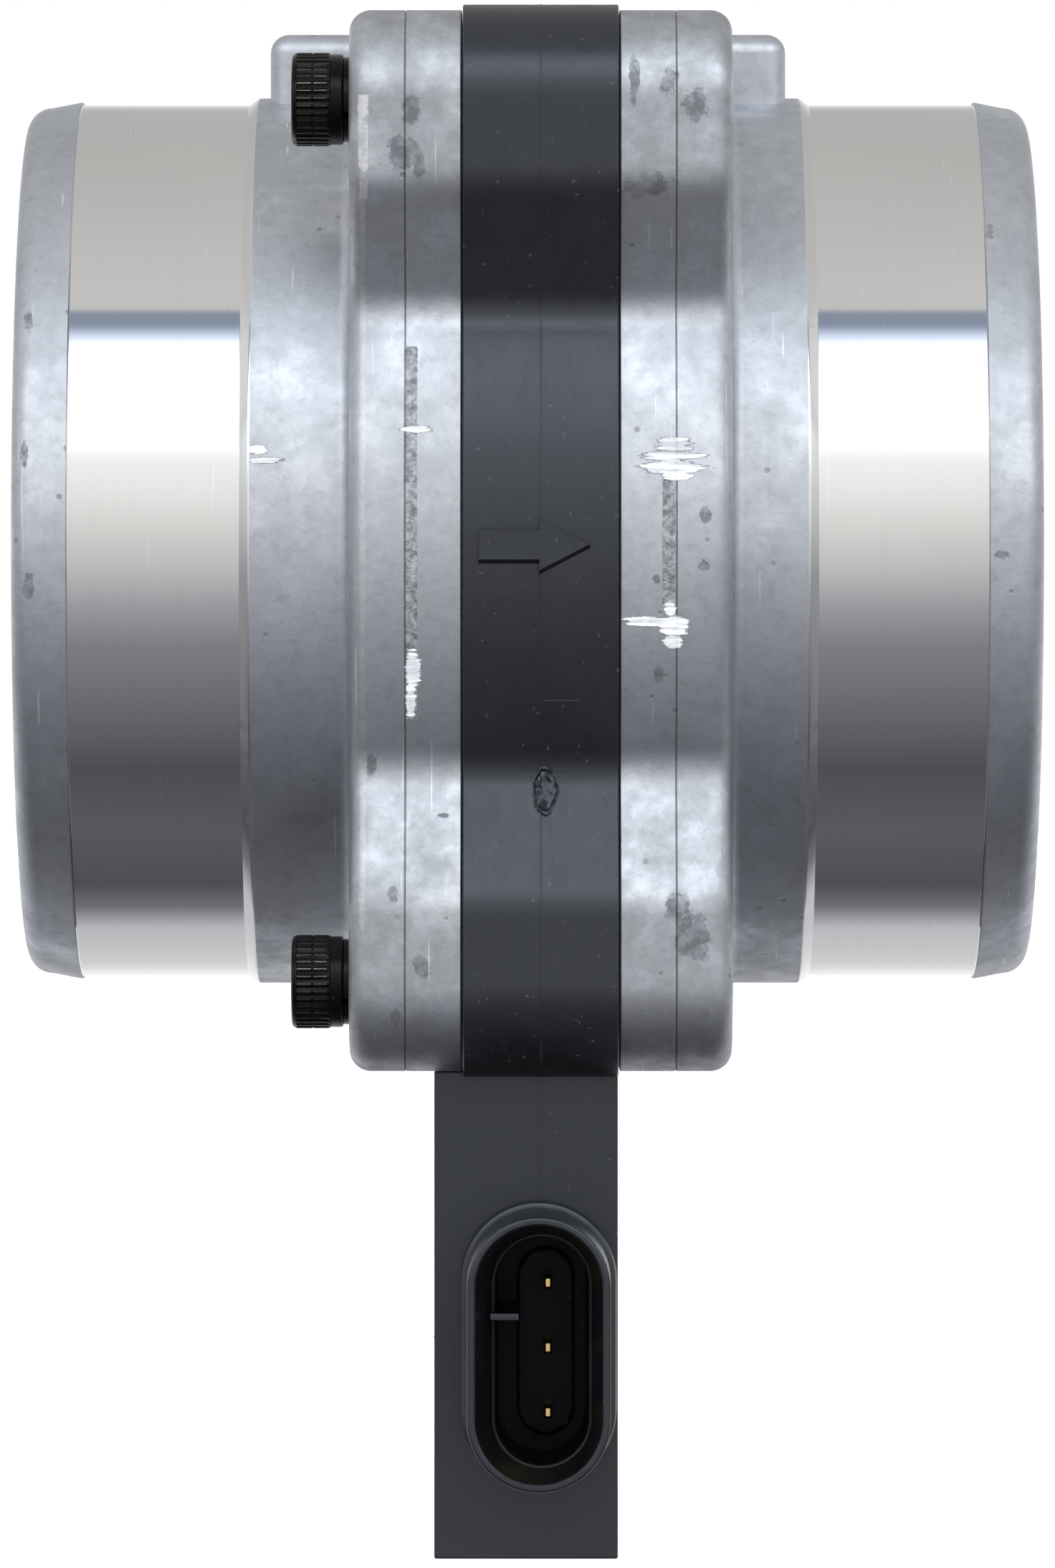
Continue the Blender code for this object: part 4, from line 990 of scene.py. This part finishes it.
def dress_cad_nodes():
    """Give the CAD nodes that stay on show their finish and slightly broken edges."""
    finishes = {
        "inlet_seal": plain("seal_rubber", (0.03, 0.03, 0.03), (0.015, 0.015, 0.015), 0.5, 0.7),
        "cover_seal": plain("silicone", (0.2, 0.2, 0.21), (0.14, 0.14, 0.15), 0.4, 0.6),
        "circuit_board": plain("substrate", (0.78, 0.77, 0.72), (0.66, 0.65, 0.6), 0.35, 0.5, 300.0),
        "control_chip": plain("chip_plastic", (0.035, 0.035, 0.037), (0.015, 0.015, 0.017), 0.45, 0.65),
        "heat_sink": metal("extruded_aluminium", (0.78, 0.79, 0.8), (0.6, 0.61, 0.63), 0.25, 0.42),
        "spacer_sleeve_1": metal("sleeve_brass", (0.82, 0.64, 0.33), (0.6, 0.46, 0.22), 0.22, 0.4),
        "terminal_1": metal("gold_plate", (0.95, 0.72, 0.32), (0.78, 0.56, 0.2), 0.16, 0.3, 900.0, 0.01),
        "screen_retaining_ring": metal("spring_steel", (0.6, 0.6, 0.61), (0.42, 0.42, 0.43), 0.25, 0.42),
        "element_prong_1": metal("prong_nickel", (0.68, 0.66, 0.62), (0.5, 0.49, 0.46), 0.2, 0.35, 1500.0),
        "hot_element": plain("element_ceramic", (0.86, 0.85, 0.8), (0.72, 0.71, 0.66), 0.2, 0.4, 1500.0),
    }
    same = {"outlet_seal": "inlet_seal", "power_transistor": "control_chip",
            "air_temp_element": "hot_element"}
    for number in range(2, 5):
        same[f"spacer_sleeve_{number}"] = "spacer_sleeve_1"
        same[f"element_prong_{number}"] = "element_prong_1"
    for number in (2, 3):
        same[f"terminal_{number}"] = "terminal_1"
    for node, source in same.items():
        finishes[node] = finishes[source]
    edges = {"heat_sink": 0.12, "circuit_board": 0.08}
    edges.update({f"terminal_{number}": 0.1 for number in range(1, 4)})
    for node, material in finishes.items():
        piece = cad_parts[node]
        for place in piece.material_slots:
            place.material = material
        if node in edges:
            bevel = piece.modifiers.new("broken_edge", "BEVEL")
            bevel.width = edges[node] * MM
            bevel.segments = 2
            bevel.limit_method = "ANGLE"


def module_lid(material):
    """The box's cover: a plate with a shallow sunk panel."""
    edge = 0.25 * MM
    outline = rounded([(y, z, 3.0 * MM) for y, z in rectangle(COVER_LOW, COVER_HIGH, 0.0)], 10)
    panel = rounded([(y, z, 1.5 * MM) for y, z in rectangle(COVER_LOW, COVER_HIGH, -3.2 * MM)], 10)
    start, end = COVER_LOW[0], COVER_HIGH[0]
    depth = 0.45 * MM
    rows = [(end, outline), (start + edge, outline), (start + 0.3 * edge, grown(outline, -0.3 * edge)),
            (start, grown(outline, -edge)), (start, grown(panel, edge)),
            (start + 0.3 * edge, grown(panel, 0.3 * edge)), (start + edge, panel),
            (start + depth, grown(panel, -0.2 * edge)), (start + depth, grown(panel, -edge))]
    piece = new_piece("module_lid", layered(rows), material)
    shade(piece)
    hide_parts("module_cover")
    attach(piece, "root")


# ---- Stage, light and camera ----
def stage():
    """Pale floor under the box. It is left out of mirror reflections, as a cut-out would be."""
    shape = bmesh.new()
    reach = 2.5
    outline = [(-reach, -reach), (reach, -reach), (reach, reach), (-reach, reach)]
    shape.faces.new([shape.verts.new((x, y, BODY_LOW[2] - 0.02 * MM)) for x, y in outline])
    look = Look("pale_floor", base_color=(0.93, 0.93, 0.93, 1.0), roughness=0.9, specular_ior_level=0.0)
    look.shader.inputs["Emission Color"].default_value = (1.0, 1.0, 1.0, 1.0)
    look.shader.inputs["Emission Strength"].default_value = 0.8
    floor = new_piece("floor", shape, look.material)
    floor.visible_glossy = False


def world_light():
    """A studio as bands of light round the X axis: tall softbox above the camera, a pale ceiling
    behind it, a pale sweep at the back and a dim floor in front."""
    world = bpy.data.worlds.new("studio")
    SCENE.world = world
    world.use_nodes = True
    tree = world.node_tree
    tree.nodes.clear()

    def node(kind, *values):
        made = tree.nodes.new(kind)
        for socket, value in zip(made.inputs, values):
            feed(socket, value)
        return made

    def maths(operation, *values):
        made = node("ShaderNodeMath", *values)
        made.operation = operation
        return made.outputs[0]

    def bands(value, stops):
        made = node("ShaderNodeValToRGB", value)
        fill_ramp(made.color_ramp, stops)
        return made.outputs["Color"]

    parts = node("ShaderNodeSeparateXYZ", node("ShaderNodeTexCoord").outputs["Generated"]).outputs
    turn = maths("ARCTAN2", parts["Z"], maths("MULTIPLY", parts["Y"], -1.0))
    around = maths("ADD", maths("DIVIDE", turn, 2 * pi), 0.5)
    studio = bands(around, [((angle + 180) / 360, colour) for angle, colour in STUDIO_BANDS])
    sides = bands(maths("MULTIPLY_ADD", parts["Z"], 0.5, 0.5), SIDE_BANDS)
    outward = node("ShaderNodeMapRange", maths("ABSOLUTE", parts["X"]), 0.7, 0.98)
    outward.interpolation_type = "SMOOTHSTEP"
    lit = tree.nodes.new("ShaderNodeMix")
    lit.data_type = "RGBA"
    for number, value in ((0, outward.outputs["Result"]), (6, studio), (7, sides)):
        tree.links.new(value, lit.inputs[number])
    light = node("ShaderNodeBackground", lit.outputs[2], STUDIO_STRENGTH)
    plain_white = node("ShaderNodeBackground", (1.0, 1.0, 1.0, 1.0), 1.0)
    seen = node("ShaderNodeLightPath").outputs["Is Camera Ray"]
    both = node("ShaderNodeMixShader", seen, light.outputs[0], plain_white.outputs[0])
    node("ShaderNodeOutputWorld", both.outputs[0])


STUDIO_STRENGTH = 2.4
# (degrees above the camera's side of the horizon, brightness as a share of the softbox)
STUDIO_BANDS = [
    (-180, (0.42, 0.42, 0.43)), (-165, (0.40, 0.40, 0.41)), (-150, (0.31, 0.31, 0.32)),
    (-124, (0.25, 0.25, 0.265)), (-113, (0.085, 0.085, 0.093)), (-103, (0.040, 0.040, 0.045)),
    (-82, (0.052, 0.052, 0.058)), (-62, (0.038, 0.038, 0.044)), (-46, (0.068, 0.069, 0.077)),
    (-27, (0.108, 0.110, 0.124)), (-17, (0.165, 0.168, 0.182)), (-8, (0.252, 0.248, 0.252)),
    (2, (0.325, 0.322, 0.318)), (12, (0.40, 0.40, 0.397)), (21, (0.45, 0.45, 0.45)),
    (26, (0.56, 0.565, 0.58)), (30, (0.83, 0.87, 0.92)), (35, (0.90, 0.96, 1.0)),
    (49, (0.90, 0.96, 1.0)), (54, (0.40, 0.45, 0.55)), (58, (0.112, 0.135, 0.182)),
    (62, (0.12, 0.14, 0.175)), (62.6, (0.27, 0.27, 0.268)), (70, (0.27, 0.27, 0.268)),
    (95, (0.245, 0.245, 0.243)), (122, (0.228, 0.227, 0.223)), (160, (0.21, 0.21, 0.21)),
    (173, (0.33, 0.33, 0.335)), (180, (0.42, 0.42, 0.43)),
]
SIDE_BANDS = [
    (0.0, (0.05, 0.05, 0.056)), (0.45, (0.145, 0.145, 0.153)), (0.55, (0.27, 0.27, 0.277)),
    (0.8, (0.40, 0.405, 0.415)), (1.0, (0.26, 0.26, 0.265)),
]


def overhead_light():
    """Soft light for the matt surfaces; the bands above give the reflections."""
    data = bpy.data.lights.new("overhead", "AREA")
    data.energy = 2.5
    data.size = 1.4
    lamp = bpy.data.objects.new("overhead", data)
    lamp.location = (0.05, -0.35, 1.1)
    towards = Vector((0.05, 0.0, -0.1)) - lamp.location
    lamp.rotation_euler = towards.to_track_quat("-Z", "Y").to_euler()
    lamp.visible_glossy = False
    SCENE.collection.objects.link(lamp)


def camera():
    """Long lens level with the flow axis; the frame is shifted down to take in the box."""
    data = bpy.data.cameras.new("camera")
    data.lens = 240.1
    data.sensor_width = 36.0
    data.shift_y = -0.1552
    data.clip_start = 0.05
    eye = bpy.data.objects.new("camera", data)
    eye.location = (TOTAL_LENGTH / 2, -1.070, 0.0)
    eye.rotation_euler = (radians(90), 0.0, 0.0)
    SCENE.collection.objects.link(eye)
    bpy.context.scene.camera = eye


def build():
    cast, band, bored = cast_aluminium(), turned_band(), bored_aluminium()
    housing("inlet_casting", lambda s: s, INLET_SIZES, True, (cast, band, bored))
    housing("outlet_casting", lambda s: TOTAL_LENGTH - s, OUTLET_SIZES, False, (cast, band, bored))
    # the socket copy of the nylon is darker and duller: painted shade in the recess
    sensor_moulding(black_nylon(), black_nylon("socket_painted_shade_nylon", 0.003, 0.12))
    module_lid(black_nylon("cover_plastic", 0.004))
    oxide = black_oxide()
    # brighter metal for the knurl crests: partly polished wear, partly a painted highlight
    crest_wear_and_highlight = metal("oxide_crest_wear_and_highlight", (0.17, 0.165, 0.15), (0.10, 0.096, 0.085), 0.12, 0.22, 900.0, 0.01)
    for number in range(1, 5):
        screw(number, oxide, crest_wear_and_highlight)
        spring_washer(number, oxide)
    woven_screen(metal("stainless_wire", (0.66, 0.66, 0.67), (0.5, 0.5, 0.51), 0.2, 0.35, 900.0))
    dress_cad_nodes()
    stage()
    world_light()
    overhead_light()
    camera()
    SCENE.view_settings.view_transform = "Standard"


build()
